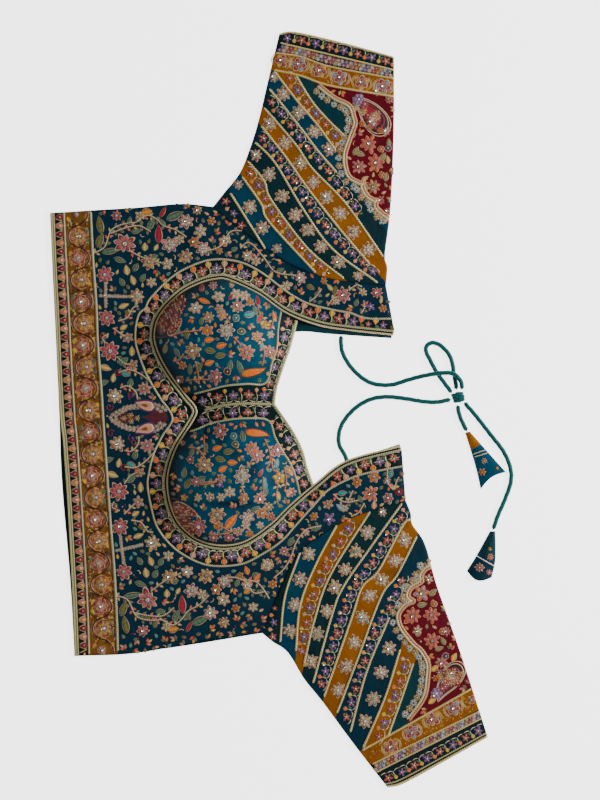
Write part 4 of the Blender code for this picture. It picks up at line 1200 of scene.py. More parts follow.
def makeSleeve(side):
    # a flattened tube: an outer ring and an inner ring at each section, joined at both ends
    along = np.linspace(0, 1, sleeve["rows"])
    turn = sleeve["turn"] / sleeve["width"]
    line = np.concatenate([turn * np.array([0, 0.08, 0.3, 0.65]),
                           np.linspace(turn, 1 - turn, sleeve["columns"]),
                           1 - turn * np.array([0.65, 0.3, 0.08, 0])])
    flat = sleeveFlat(side, line, along)
    x, y = flat[..., 0], flat[..., 1]
    slack = sleeve["puff"] * np.sin(np.pi * line)[None] ** 0.8
    slack = slack * np.sin(np.pi * (0.12 + 0.76 * along))[:, None]
    away = np.sin(np.pi * line)[None] ** 0.5 * np.sin(np.pi * along)[:, None] ** 0.5
    slack = np.clip(slack + foldHeight("sleeve" + side, x, y), 0, 3.2) + puckers(x, y) * away
    half = (panel["base"] + panel["thick"] + slack) / 2
    edge = np.clip(np.minimum(line, 1 - line) / turn, 0, 1)[None]
    turned = np.sqrt(1 - (1 - edge) ** 2)
    inward = (0.5 - line) * 2 * sleeve["thick"] / sleeve["width"] + line
    gap = np.maximum(half - sleeve["thick"], 0.3) * np.maximum(turned, 0.35)
    points = np.concatenate([ringed(flat, half - half * turned, half + half * turned),
                             ringed(sleeveFlat(side, inward, along), half - gap, half + gap)])
    rows, columns = sleeve["rows"], points.shape[1]
    count, last = rows * columns, (rows - 1) * columns
    tube = quadsOf(rows, columns, wrap=True)
    first, onward = np.arange(columns), np.roll(np.arange(columns), -1)
    faces = [np.vstack([tube, tube[:, ::-1] + count,
                        np.stack([onward, first, first + count, onward + count], axis=1),
                        np.stack([first, onward, onward + count, first + count], axis=1) + last])]
    plan, hand = points[..., :2], handOf(side)
    stripe = between([signedTo(evenly(cord, 60), plan) * hand for cord in stripeCords[side]])
    cuff = between([-hand * signedTo(evenly(cord, 60), plan) for cord in cuffCords[side]])
    scallop = np.clip(fieldDepth(side, plan), -50, 50)
    grounding = ["stripe", "azure", "ochre", "stripe", "teal", "ochre", "stripe", "azure", "ochre", "deep"]
    if side == "Left":
        grounding[6:8] = "teal", "teal"
    finish = satin("sleeveSatin" + side, "teal", [("stripe", 0, 10, list(enumerate(grounding))),
                                                  ("scallop", -10, 10, [(-10, None), (0, "maroon")]),
                                                  ("cuff", 0, 4, [(0, "dark"), (2, "ochre"), (3, None)])])
    piece = makePiece("sleeve" + side, points, outwards(points, faces), finish,
                      values={"stripe": stripe, "scallop": scallop, "cuff": cuff})
    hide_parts("sleeve_" + side.lower())
    return piece, np.dstack([flat, half + half * turned])


def makeSeams():
    # the armhole seams' allowances, a flat roll of cloth under the two edges that meet
    for side in sides:
        line = armholeLine(side, 90)
        points, faces, _ = carried(np.column_stack([line, np.full(len(line), 1.65)]), 0.9, 1.25, around=8)
        seam = makePiece("armholeSeam" + side, points, faces, finishes["lining"])


frontPiece, frontTop = makeFront()
binding, backPiece = makeBack()
makeNeckPiping()
makeSeams()
cupTops = {side: makeCup(side) for side in sides}
sleeves = {side: makeSleeve(side) for side in sides}
print("panels, cups, pipings and sleeves")


def sewStrokes(work, starts, ends, bulge=0.0, radius=0.45, colours="cream", lift=-0.1):
    # short curved stitches: a sine-wave bend between two places, half an oval thick
    starts, ends = (np.atleast_2d(np.asarray(places, float)) for places in (starts, ends))
    kept = inPanel(work[1], starts, 1.2) & inPanel(work[1], ends, 1.2)
    if not kept.any():
        return
    starts, ends, count = starts[kept], ends[kept], kept.sum()
    s = np.linspace(0, 1, 8)[None]
    run = ends - starts
    size = np.linalg.norm(run, axis=1)[:, None]
    bend = bulge * size * np.sin(np.pi * s)
    path = starts[:, None] + s[..., None] * run[:, None] + bend[..., None] * (leftOf(run) / size)[:, None]
    along = unit(np.gradient(path, axis=1))
    turn = np.linspace(0, np.pi, 4)
    thick = radius * np.clip(4 * np.minimum(s, 1 - s), 0.3, 1)[..., None]
    x = path[..., 0, None] - thick * np.cos(turn) * along[..., 1, None]
    y = path[..., 1, None] + thick * np.cos(turn) * along[..., 0, None]
    tint = np.broadcast_to(asColours(colours, count)[:, None, None], x.shape + (3,))
    layOn(work, x, y, 1.3 * thick * np.sin(turn) + lift, quadsOf(8, 4, count=count)[:, ::-1], tint)


def spiral(place, radius, turns, start, hand=1):
    # a curl: the radius falls evenly while the direction turns
    s = np.linspace(0, 1, 24)
    return place + (radius * (1 - 0.85 * s))[:, None] * towards(start + hand * 2 * np.pi * turns * s)


def sewPaisley(work, zari, place, length, width, turn, fill="orange", heart="coral", edge="cream",
               outline="purple", bend=0.9, relief=1.1, thick=0.7):
    # a drop whose tip bends over: rings of one teardrop, with cords along its outline
    angle = circle(40)[None]
    share = np.array([0.25, 0.45, 0.62, 0.78, 0.88, 1.0])[:, None]
    lift = relief * np.array([1.0, 0.8, 0.95, 0.6, 0.75, -0.06])[:, None]

    def drop(size):
        u, v = size * np.cos(angle), size * np.sin(angle) * np.abs(np.sin(angle / 2)) ** 1.1
        swing = bend * np.clip(u, 0, 1) ** 2
        u, v = u * np.cos(swing) - 0.6 * v * np.sin(swing), v + 0.75 * u * np.sin(swing)
        x = place[0] + length / 2 * u * np.cos(turn) - width / 2 * v * np.sin(turn)
        return x, place[1] + length / 2 * u * np.sin(turn) + width / 2 * v * np.cos(turn)

    names = [heart, fill, fill, fill, edge, edge]
    tint = np.concatenate([threadColour[heart][None], np.repeat(asColours(names, 6), 40, axis=0)])
    layOn(work, *drop(share), lift, poledFaces(6, 40), tint,
          poles=[np.array([value]) for value in (*place, relief)])
    ring = np.vstack(drop(1.12)).T
    sewCord(zari, np.vstack([ring, ring[:1]]), radius=thick, tones=outline, pitch=2.0, straight=True)


# a flower's petals and the colours of its heart, its inner petals, its tips and every other tip
flowerStyles = {
    "redPink": (8, "white rose crimson pink"), "crimson": (8, "white pink crimson red"),
    "crimsonYellow": (8, "white cream crimson yellow"), "pinkBeige": (8, "cream rose beige pink"),
    "orangePurple": (6, "yellow beige orange lilac"), "goldRed": (8, "cream beige yellow crimson"),
    "pinkPurple": (7, "white cream pink purple"), "orangeCoral": (8, "yellow rose coral orange"),
    "creamPurple": (8, "white cream rose purple", {"edge": "cream"}),
    "orange": (6, "yellow amber orange coral"), "beige": (6, "gold cream beige peach"),
    "purple": (5, "white lilac purple", {"edge": "lilac", "full": 0.6}),
    "red": (5, "white peach red", {"edge": "rose", "full": 0.6}),
    "bold": (5, "yellow yellow yellow amber", {"edge": "amber"}),
    "creamBig": (8, "white cream beige crimson"), "goldBig": (8, "white cream gold crimson"),
    "oliveBig": (8, "white cream greyGreen rose"), "orangeBig": (8, "cream cream peach crimson"),
    "roseDisc": (8, "white peach rose crimson", {"edge": "peach", "full": 0.22}),
    "goldDisc": (8, "white gold peach yellow", {"edge": "peach", "full": 0.22}),
    # a round red stone: its white heart is a painted highlight
    "berry": (6, "white crimson crimson", {"edge": "crimson", "full": 0.1}),
    "cuffBlue": (6, "white rose greyBlue crimson", {"full": 0.3}),
    "cuffGold": (6, "white rose yellow crimson", {"full": 0.3}),
}


def styled(style):
    petals, colours, *more = flowerStyles[style]
    named = dict(zip(("heart", "inner", "tips", "others"), colours.split()))
    return {"petals": petals, **named, **dict(*more)}


def sewTable(work, rows, taken=(), **looks):
    # flowers from rows of (x, y, width, style)
    for style in sorted({row[3] for row in rows}):
        some = np.array([row[:3] for row in rows if row[3] == style], float)
        places, size = some[:, :2], some[:, 2] / 2
        sewFlowers(work, places, size, turn=chance.uniform(0, 1, len(places)), **{**styled(style), **looks})
        taken += type(taken)((x, y, r) for (x, y), r in zip(places, size))


def sewLeafTable(work, tables, taken, edge=None):
    # leaves from tables of rows of (x, y, length, width, degrees), by fill
    for fill in sorted({fill for table in tables for fill in table}):
        some = np.array([row for table in tables for row in table.get(fill, [])], float)
        sewLeaves(work, some[:, :2], some[:, 2], some[:, 3], np.radians(some[:, 4]), fill=fill,
                  edge=edge or ("beige" if fill in ("olive", "greyGreen", "crimson") else "tan"))
        taken += [(x, y, 0.4 * size) for x, y, size in some[:, :3]]


def sewVines(work, vines, tones, leaves, taken):
    # stems, with small leaves standing off them on both sides
    for number, vine in enumerate(vines):
        fine = evenly(vine, 60)
        sewCord(work, sideways(fine, 0.5), radius=0.75, tones=tones, pitch=2.4, beads=1.9)
        sewCord(work, sideways(fine, -0.7), radius=0.45, tones="brown maroon", pitch=2.4)
        for hand in (1, -1):
            at, heading = spots(vine, 7.5, start=3.0 + 2.0 * (hand < 0), off=hand * 2.4)
            if len(at):
                sewLeaves(work, at, 4.6, 2.4, heading + hand * 0.9, relief=0.6,
                          fill=[leaves[(number + k) % len(leaves)] for k in range(len(at))])
                taken += [(x, y, 2.2) for x, y in at]


def spareSpots(grid, fits, taken, radius, wanted, gap=0.8):
    # places inside a panel's field that keep clear of the motifs already sewn
    found = []
    u, v = (chance.uniform(0, size - 1.001, 9000) for size in grid.shape[:2])
    tries = readGrid(grid, u, v)[:, :2]
    kept = np.array(taken, float).reshape(-1, 3)
    for place in tries[fits(tries)]:
        if len(found) == wanted:
            break
        if (np.hypot(*(kept[:, :2] - place).T) > kept[:, 2] + radius + gap).all():
            found.append(place)
            kept = np.vstack([kept, [*place, radius]])
    taken += [(x, y, radius) for x, y in found]
    return np.array(found).reshape(-1, 2)


def fillSpare(work, grid, fits, taken, budget, greens=("olive", "greyGreen", "gold", "aqua")):
    # what stands between the named motifs: buds, pairs of leaves, curls and single stitches
    buds = spareSpots(grid, fits, taken, 4.2, budget)
    if len(buds):
        # sprigs: three leaves on a stem
        turn = chance.uniform(0, 2 * np.pi, len(buds))
        along = towards(turn)
        for lean, reach in ((0, 2.4), (1, 0.4), (-1, -0.9)):
            fill = [("coral", "amber", "greyGreen", "rose", "gold")[(k + lean) % 5] for k in range(len(buds))]
            sewLeaves(work, buds + reach * along + leftOf(along) * 2.0 * lean, 5.2, 3.0, turn + 0.8 * lean,
                      fill=fill, edge="tan")
        sewStrokes(work, buds - 4.2 * along, buds + 0.4 * along, bulge=0.12, radius=0.55, colours="brown",
                   lift=0.2)
    leaves = spareSpots(grid, fits, taken, 2.3, int(2.2 * budget), gap=1.0)
    if len(leaves):
        turn = chance.uniform(0, np.pi, len(leaves))
        sewLeaves(work, leaves, 5.6, 3.2, turn, edge="tan",
                  fill=[greens[k % len(greens)] for k in range(len(leaves))])
    curls = spareSpots(grid, fits, taken, 2.0, int(1.6 * budget), gap=1.2)
    if len(curls):
        reach = 2.3 * towards(chance.uniform(0, 2 * np.pi, len(curls)))
        sewStrokes(work, curls - reach, curls + reach, bulge=0.28, radius=0.5,
                   colours=["beige", "brown", "gold"])
        sewBeads(work, curls + reach, 0.8, ["coral", "cream", "lilac", "gold"])


def sewBorder(work, line, pitch=15.7, start=6.0, off=0.0, size=4.6, budOff=3.2, hand=1,
              styles=("red", "purple"), buds=("peach", "orange", "yellow"), legs=6.0, arcs=True, bold=1.0):
    # flowers of two colours by turns, a bud between each two, and V-shaped stitches under them
    at, heading = spots(line, pitch, start, off)
    order = np.arange(len(at)) % len(styles)
    for style in sorted(set(styles)):
        some = np.flatnonzero(order == styles.index(style))
        if len(some):
            sewFlowers(work, at[some], size, turn=heading[some] + hand * np.pi / 2, relief=1.0,
                       **styled(style))
    gaps, turned = spots(line, pitch, start + pitch / 2, off + hand * budOff)
    sewLeaves(work, gaps, 5.6 * bold, 4.4 * bold, turned + hand * np.pi / 2, belly=1.5, relief=0.9,
              fill=[buds[k % len(buds)] for k in range(len(gaps))], edge="cream")
    if not legs:
        return
    along, aside = towards(heading), towards(turned)
    below, under = -hand * leftOf(along), -hand * leftOf(aside)
    foot = gaps + (budOff + legs) * under
    sewStrokes(work, gaps + 2.6 * under, foot, bulge=0.12, radius=0.42 * bold)
    sewLeaves(work, foot - 2.6 * under + 2.2 * aside, 4.6 * bold, 2.7 * bold, turned - hand * 0.9,
              fill=["greyGreen", "olive"], edge="sage", relief=0.6)
    for lean in (-1, 1):
        root = at + 1.02 * size * below + 0.4 * lean * along
        ends = at + lean * 0.47 * pitch * along + legs * below
        sewStrokes(work, root, ends, bulge=-lean * hand * 0.14, radius=0.42 * bold)
        if arcs:
            ends = at + lean * 0.40 * pitch * along + 0.1 * size * below
            sewStrokes(work, root, ends, bulge=lean * hand * 0.3, radius=0.32 * bold, colours="pale")


def mirrored(x, y):
    # the place across the centre front that answers a place on the right half
    axis = -9.7 + 0.09 * (x + 150.9)
    return x + 0.13 * (y - axis), axis - 1.04 * (y - axis)


def bothHalves(rows):
    return rows + [(*mirrored(row[0], row[1]), *row[2:]) for row in rows]


def keepClear(place, length, turn, shares, radius):
    # rounds that a long motif takes up, at those shares of its length
    return [(*(place + share * length * towards(turn)), radius) for share in shares]


# the front panel's field, right half
frontFlowers = [
    (-151, 173.5, 24, "redPink"), (-172, 141, 19, "crimson"), (-170, 96, 19, "crimson"),
    (-138.5, 118, 18, "crimsonYellow"), (-166.5, 61, 22, "crimson"), (-161.5, 14, 18, "crimsonYellow"),
    (-131, 21.5, 15, "pinkBeige"), (-148, 75, 13, "orangePurple"), (-125.5, 154.5, 17, "goldRed"),
    (-106, 152.5, 13, "beige"), (-87, 160, 17, "goldRed"), (-69, 168.5, 16, "pinkPurple"),
    (-78.5, 175.5, 14, "orange"), (-72, 187, 16, "beige"), (-103.5, 172.5, 18, "pinkPurple"),
    (-87, 197.5, 17, "pinkPurple"), (-60.5, 197.5, 10, "orange"), (-74.5, 209, 13, "goldRed"),
    (-159.5, 203, 14, "redPink"), (-135, 203, 12, "beige"), (-142.5, 46.5, 12, "orangePurple"),
    (-123.5, 133.5, 12, "beige"), (-94, 178, 12, "beige"), (-46, 177, 13, "beige"),
    (-22, 161, 14, "crimsonYellow"), (-52, 166, 8, "orange")]
frontLeaves = {
    "olive": [(-177, 193.5, 20, 8, 100), (-177, 177.5, 17, 8, 70), (-147, 101, 10, 4.5, -20)],
    "greyGreen": [
        (-165.5, 166, 20, 7, 10), (-156, 156.5, 14, 6, -20), (-98.5, 203, 20, 9, 25),
        (-123.5, 194.5, 15, 7, 65), (-139.5, 149, 10, 6.5, 60), (-154, 133.5, 10, 6, 120),
        (-132, 138, 10, 6, 60), (-152, 50.5, 12, 7.5, 40), (-173, 28, 12, 6, 20), (-145, 28, 10, 6.5, 80),
        (-112, 196, 12, 5, 130), (-120, 160, 9, 6, 20), (-139, 187, 11, 6, 10), (-146, 198, 10, 5, 80),
        (-36, 168, 8, 5, 30)],
    "crimson": [(-115.5, 184, 20, 8.5, 92), (-111, 207, 14, 5, 60)],
    "gold": [
        (-130, 170.5, 9, 7, 90), (-149, 146, 11, 7, 100), (-142.5, 135.5, 11, 6.5, 110),
        (-152, 108.5, 12, 6, 20), (-152, 86, 9, 6, 30), (-143.5, 61, 11, 6.5, 90), (-171, 43.5, 13, 7, -20),
        (-163, 33, 10, 6, 80), (-118, 170, 8, 5, 60)],
    "aqua": [(-150, 37, 11, 6, -20)],
    "amber": [(-128, 207, 12, 8.5, 10)],
}
frontVines = [
    [(-184.5, 163), (-172, 170), (-166, 186), (-158, 192), (-147, 195), (-139.5, 195.5)],
    [(-166, 184), (-150, 190), (-136, 192), (-124, 186)],
    [(-139.5, 195.5), (-128, 203), (-118, 199), (-110, 192), (-98, 188), (-86, 180)],
    [(-146.5, 166), (-135, 160), (-128, 157)], [(-120, 155), (-112, 153)],
    [(-66, 166), (-56, 168), (-47, 174), (-40, 186), (-28, 187)],
    [(-158, 92), (-148, 96), (-142, 106), (-136, 108)], [(-164, 85), (-154, 78), (-150, 76)],
    [(-168, 80), (-175, 75), (-172, 70)], [(-160, 55), (-152, 48), (-144, 46)],
    [(-158, 38), (-146, 41), (-134, 36), (-126, 30)], [(-156, 22), (-148, 24), (-140, 18), (-138, 10)]]
frontBeads = [[(-171, 132.5), (-171, 105.5)], [(-177, 119), (-147, 118)]]
# the shoulders' fields, where the two halves differ
shoulderFlowers = [
    (33, 138, 15, "pinkPurple"), (78, 120, 18, "redPink"), (58, 134.5, 11, "orange"),
    (84.5, 134, 11, "orange"), (95, 141, 12, "beige"), (113.5, 122, 13, "crimson"),
    (120, 105.5, 9, "orange"), (-13.5, 155.5, 12, "beige"), (99, 123, 10, "beige"), (70, 113, 9, "beige"),
    (18, 130, 12, "beige"), (107, 108, 10, "purple"), (63.5, -115, 15, "purple"),
    (47.5, -112.5, 11, "orange"), (16, -149, 11, "pinkBeige"), (-2, -163.5, 15, "goldBig"),
    (4, -183.5, 10, "orange"), (-16.5, -207.5, 11, "beige"), (62, -99.5, 12, "orangePurple"),
    (106.5, -88.5, 18, "orangeCoral"), (110.5, -71, 14, "orange"), (92.5, -76.5, 12, "orange"),
    (125, -93, 12, "cuffBlue"), (136.5, -86.5, 9, "berry"), (140, -68, 10, "redPink"),
    (143.5, -107, 8, "purple"), (24, -158, 10, "redPink"), (80, -104, 9, "beige"),
    (124, -75, 9, "pinkPurple"), (39, -129, 9, "beige")]
shoulderLeaves = {
    "olive": [(69.5, 125, 10, 6, 80), (44, 128, 10, 5.5, -30)],
    "orange": [
        (22.5, 150.5, 12, 6, -40), (104, 133, 9, 5, 20), (-23, -169, 10, 6, 110), (-12, -176, 10, 6, 50)],
    "greyGreen": [
        (12, 146, 10, 5, 20), (52, 122, 9, 5, 60), (92, 112, 9, 5, 70), (23.5, -138.5, 12, 6, 60),
        (36, -141, 10, 5, 100), (50, -125, 9, 5, 30), (-33, -182, 9, 5, 60), (96, -94, 9, 5, 120)],
    "gold": [(118, 115, 9, 4, 80), (64, 128, 9, 5, 130), (2, 140, 9, 5, 60), (132, -82, 8, 4.5, 40)],
    "amber": [(-22, -190.5, 10, 6, 30)],
    "crimson": [(0, -205, 16, 7, 95)],
    "aqua": [(77.5, -88, 11, 6, 10), (128.5, -67, 10, 5, 80)],
    "greyBlue": [(75, -103, 11, 6, 140)],
    "peach": [(110.5, -100.5, 9, 6, 90)],
}
shoulderVines = [
    [(-30, 168.5), (-20.5, 174.5), (-7, 161), (6.5, 144), (28.5, 140)],
    [(42.5, 112.5), (50, 118), (56, 126.5)], [(97, 100), (101, 107), (100, 114.5)],
    [(62, 108), (68, 116), (74, 118)], [(84, 124), (92, 130), (98, 128)],
    [(55.5, -121.5), (39, -126), (28.5, -139.5), (23.5, -153), (16.5, -166), (4.5, -177)],
    [(-30, -179), (-14.5, -181), (-6, -189), (0.5, -199.5)],
    [(67, -89), (74.5, -95.5), (83, -98), (96, -95.5)], [(83, -98), (89, -85)],
    [(124, -63), (124.5, -76.5), (130.5, -83.5), (137, -71)], [(100, -98), (94, -108), (86, -112)]]


def sewHem(silk, zari):
    for share, radius, light in ((0.035, 1.0, "straw"), (0.085, 1.0, "pale"), (0.34, 1.1, "cream"),
                                 (1.0, 1.4, "cream")):
        sewCord(zari, hemAt(share), radius=radius, tones=light + " olive", pitch=2.4)
    # the drops of the hem's first band, with a stitched V between each two
    line = hemAt(0.215)
    at, heading = spots(line, 9.0, 5.0)
    sewLeaves(silk, at, 8.6, 7.6, heading - np.pi / 2, belly=0.62, relief=1.2, fill=["crimson", "peach"],
              edge=["tan", "shell"], rib=["maroon", "coral"])
    sewBeads(silk, spots(line, 9.0, 5.0, off=0.8)[0], 1.4, ["peach", "cream", "rose", "yellow"], relief=1.6)
    for lean in (-1, 1):
        tips, roots = spots(line, 9.0, 9.5, off=3.6)[0], spots(line, 9.0, 9.5 + lean * 3.2, off=-4.2)[0]
        both = min(len(tips), len(roots))
        sewStrokes(silk, tips[:both], roots[:both], radius=0.5, colours="shell")
    # the hem's wide band: discs, a double cord that winds round them, leaves in the gaps
    line, pitch = hemAt(0.67), 22.9
    at, heading = spots(line, pitch, 3.0)
    for number, (style, ring, inner, tips, others, edge) in enumerate((
            ("roseDisc", "rose", "shell", "shell", "rose", "shell"),
            ("goldDisc", "peach", "rose", "gold", "peach", "tan"))):
        some = spots(line, pitch, 3.0, off=(-1.5, 1.5)[number])[0][number::2]
        for place in asPlaces(silk, some, 8.5):
            sewCord(silk, place + 9.4 * towards(np.linspace(0, 6.1, 40)), radius=0.45, tones=ring + " maroon",
                    pitch=1.8, beads=1.6)
        sewFlowers(silk, some, 8.7, turn=0.2, relief=1.1, **styled(style))
        sewFlowers(silk, some, 5.4, turn=0.6, relief=1.7, petals=8, heart="white", inner=inner, tips=tips,
                   others=others, edge=edge)
    # short stitches of gold and brown thread all over the band's ground
    across, share = chance.uniform(0.37, 0.97, 1250), chance.uniform(0.01, 0.99, 1250)
    number = (share * 159).astype(int)
    roots = hemEdge[number] * (1 - across[:, None]) + hemTop[number] * across[:, None]
    roots = roots[np.linalg.norm(roots[:, None] - at, axis=2).min(axis=1) > 9.0]
    ends = roots + 3.6 * towards(chance.uniform(0, 2 * np.pi, len(roots)))
    sewStrokes(silk, roots, ends, bulge=0.3, radius=0.55, lift=0.0,
               colours=["gold", "night", "brown", "tan", "maroon", "olive", "night", "amber"])
    fine = evenly(line, 900)
    wave = np.cos(np.pi * (runOf(fine) - 3.0) / pitch)
    for gap, tones, radius in ((-1.1, "peach beige", 0.4), (0.0, "brown night", 0.85),
                               (1.1, "peach beige", 0.4)):
        aside = (10.6 + gap) * np.sign(wave) * np.abs(wave) ** 0.62
        sewCord(zari, fine + aside[:, None] * (sideways(fine, 1.0) - fine), radius=radius, tones=tones,
                pitch=2.4, step=1.1, lift=0.35)
    gaps, turned = spots(line, pitch, 3.0 + pitch / 2)
    sewLeaves(silk, gaps, 6.0, 4.0, turned + 0.6, fill=["yellow", "amber"], edge="gold")
    for hand in (-1, 1):
        corner, turned = spots(line, pitch, 3.0, off=hand * 9.4)
        both = np.vstack([corner + 5.0 * towards(turned), corner - 5.0 * towards(turned)])
        sewLeaves(silk, both, 7.0, 4.4, np.concatenate([turned + 0.5, turned - 0.5]),
                  fill=["yellow", "greyGreen", "amber"], edge="gold")
    sewBeads(silk, at, 1.6, "cream")
    return at


def sewCentre(silk, zari):
    # the ornament at the centre front: two rings of florets round two drops and two paisleys
    outline = np.array([(-108, -1), (-115, 4), (-123, 5), (-135, 4), (-146, 3), (-156, -1), (-166, -9),
                        (-157, -17), (-147, -21), (-136, -22), (-124, -23), (-115, -21), (-109, -16)])
    middle = np.array([-138, -9])
    for reach, tones in ((1.0, ["rose", "peach", "pink"]), (0.83, ["brown", "beige", "crimson"])):
        sewFlowers(silk, spots(middle + reach * (outline - middle), 4.2, 0.5)[0], 2.6, petals=5, turn=0.3,
                   heart="white", inner="cream", tips=tones, edge="cream", relief=1.2)
    sewLeaves(silk, (-149, -9.5), 21, 12, 0.0, fill="maroon", edge="brown", rib="brown", relief=0.9)
    sewLeaves(silk, (-120, -8.5), 29, 14, 0.0, fill="maroon", edge="crimson", rib="maroon", belly=1.9)
    sewFlowers(silk, [(-152, -9.5), (-145, -6.5), (-144, -12.5), (-138, -9.5)], 3.4, petals=6, heart="white",
               inner="gold", tips=["gold", "orange", "beige"], relief=1.7)
    for y, hand in ((4.2, 1), (-20.8, -1)):
        sewPaisley(silk, zari, (-130.5, y), 21, 13.5, math.pi - 0.2 * hand, fill="peach", heart="brown",
                   edge="shell", outline="purple", bend=-0.4 * hand, relief=1.6, thick=1.0)
        sewFlowers(silk, [(-129.0 + k, y) for k in (-5.0, -1.6, 1.8, 5.0)], 1.6, petals=5, heart="cream",
                   inner="peach", tips=["tan", "rose"], relief=2.4)
        curl = (-143.5, y + 9.5 * hand)
        sewCord(zari, spiral(curl, 4.4, 0.9, -2.0 * hand, -hand), radius=0.75, tones="purple maroon",
                pitch=2.4)
        sewBeads(silk, curl, 1.4, "purple")


def sewFront():
    ground = heightMap([frontTop])
    zari, silk, taken = ("frontZari", ground), ("frontEmbroidery", ground), []
    sewCord(zari, bandLine, radius=1.1, tones="cream sage", pitch=2.2)
    discs = sewHem(("hemEmbroidery", ground), zari)
    # the neckline's band, and the fields
    fine = evenly(bandLine, 300)
    reach = np.clip(0.5 * distanceTo(neckLine()[0], fine), 6.0, 9.4)
    middle = evenly(fine + reach[:, None] * (sideways(fine, -1.0) - fine), 300, True)
    sewBorder(("neckEmbroidery", ground), middle, start=9.0, size=5.8, budOff=4.0, legs=5.4, bold=1.5)
    flowers = bothHalves(frontFlowers) + shoulderFlowers
    sewTable(silk, flowers, taken)
    leaves = {fill: bothHalves(rows) for fill, rows in frontLeaves.items()}
    sewLeafTable(silk, [leaves, shoulderLeaves], taken)
    vines = frontVines + [[mirrored(*place) for place in vine] for vine in frontVines] + shoulderVines
    sewVines(silk, vines, "cream brown", ("gold", "greyGreen", "olive", "coral"), taken)
    taken += [(x, y, 1.5) for vine in vines for x, y in evenly(vine, 12)]
    for beads in frontBeads + [[mirrored(*place) for place in line] for line in frontBeads]:
        places, _ = spots(beads, 3.0, 0.5, straight=True)
        sewFlowers(silk, places, 2.3, petals=5, heart="white", inner="cream", tips=["peach", "rose"],
                   edge="cream")
        taken += [(x, y, 2.0) for x, y in places]
    for x, y, hand in ((-174, 76, 1), (-158.5, 39, -1), (-144.5, 15, 1), (-167.5, 2.5, -1)):
        for place, way in (((x, y), hand), (mirrored(x, y), -hand)):
            sewCord(silk, spiral(place, 4.2, 1.2, 0.5, way), radius=0.7, tones="crimson maroon", pitch=2.4)
            taken.append((*place, 4.0))
    sewCentre(silk, zari)
    taken += [(-138, -9, 21), (-118, -9, 14), (-157, -9, 10), (-143.5, 14, 5), (-143.5, -30, 5)]

    def fits(places):
        inner = signedTo(bandLine, places) > 4.5
        return inner & (hemShare(places) > 1.07) & (places[:, 1] < 222)

    fillSpare(silk, frontTop, fits, taken, 48)
    shine = ("frontSequins", ground)
    shining = [(-171, 119)] + [row[:2] for row in flowers if row[2] >= 13]
    sewSequins(shine, shining, 1.5, ["white", "cream", "white"], lift=1.1)
    sewSequins(shine, discs, 1.6, ["white", "cream"], lift=2.0)


# the cups' fields: flowers, leaves and stems, the round florets, the paisley that curls and the
# dark ones, each at a place with its length, width, turn and bend
cupFlowers = {
    "Right": [
        (-44, 82, 17, "creamPurple"), (-23, 59, 18, "orangeCoral"), (-79.5, 61, 17, "goldRed"),
        (-54.5, 34, 15, "redPink"), (-93, 31, 14, "crimson"), (-32.5, 107.5, 13, "pinkBeige"),
        (-76.5, 105.5, 13, "beige"), (-62.5, 96, 12, "goldRed"), (-64, 82, 12, "orange"),
        (1.5, 60, 13, "orangeCoral"), (-4, 88, 10, "bold"), (-48, 98, 11, "orangePurple"),
        (-25.5, 119, 11, "beige"), (-52, 118, 12, "beige"), (-58, 129.5, 12, "pinkBeige"),
        (-12, 76, 11, "orange"), (-90, 46, 9, "orange"), (-39, 130, 11, "goldRed"), (2, 78, 8, "beige"),
        (-34.5, 120.5, 11, "beige"), (-51, 104.5, 10, "orangePurple"), (-19.5, 112, 9, "orange")],
    "Left": [
        (-27.5, -69.5, 18, "creamPurple"), (-17.5, -41, 14, "orangeCoral"), (-12, -48, 15, "orangeCoral"),
        (-67, -58, 17.5, "goldRed"), (-50.5, -23, 16, "redPink"), (-90, -35.5, 14, "crimson"),
        (9.5, -43, 15, "redPink"), (11, -71.5, 13, "bold"), (21, -63, 9, "orange"),
        (-26, -92.5, 12.5, "orange"), (-49, -71.5, 9.5, "orangePurple"), (-50.5, -78.5, 8, "purple"),
        (-40.5, -86.5, 12, "beige"), (-49.5, -91.5, 9.5, "beige"), (-61, -91, 8.5, "beige"),
        (-73.5, -92, 8.5, "beige"), (-88, -92, 8, "bold"), (-75, -75.5, 11, "redPink"),
        (-9, -92.5, 13, "pinkBeige"), (-7.5, -108, 13, "orange"), (-22, -112, 14, "pinkPurple"),
        (-53.5, -109.5, 18, "goldRed"), (-52, -122, 9, "orange"), (-73, -122.5, 19, "crimson"),
        (2, -112, 12, "orangeCoral"), (23.5, -87, 10, "pinkBeige"), (-81.5, -52.5, 8, "crimson"),
        (-32, -128, 10, "orangePurple"), (-57.5, -134, 10, "redPink"), (-9, -121.5, 12, "beige"),
        (0, -118.5, 11, "beige"), (0, -102, 10, "goldRed"), (-24, -121, 10, "beige"),
        (-20, -130, 10, "orange"), (-42, -134, 10, "crimson")],
}
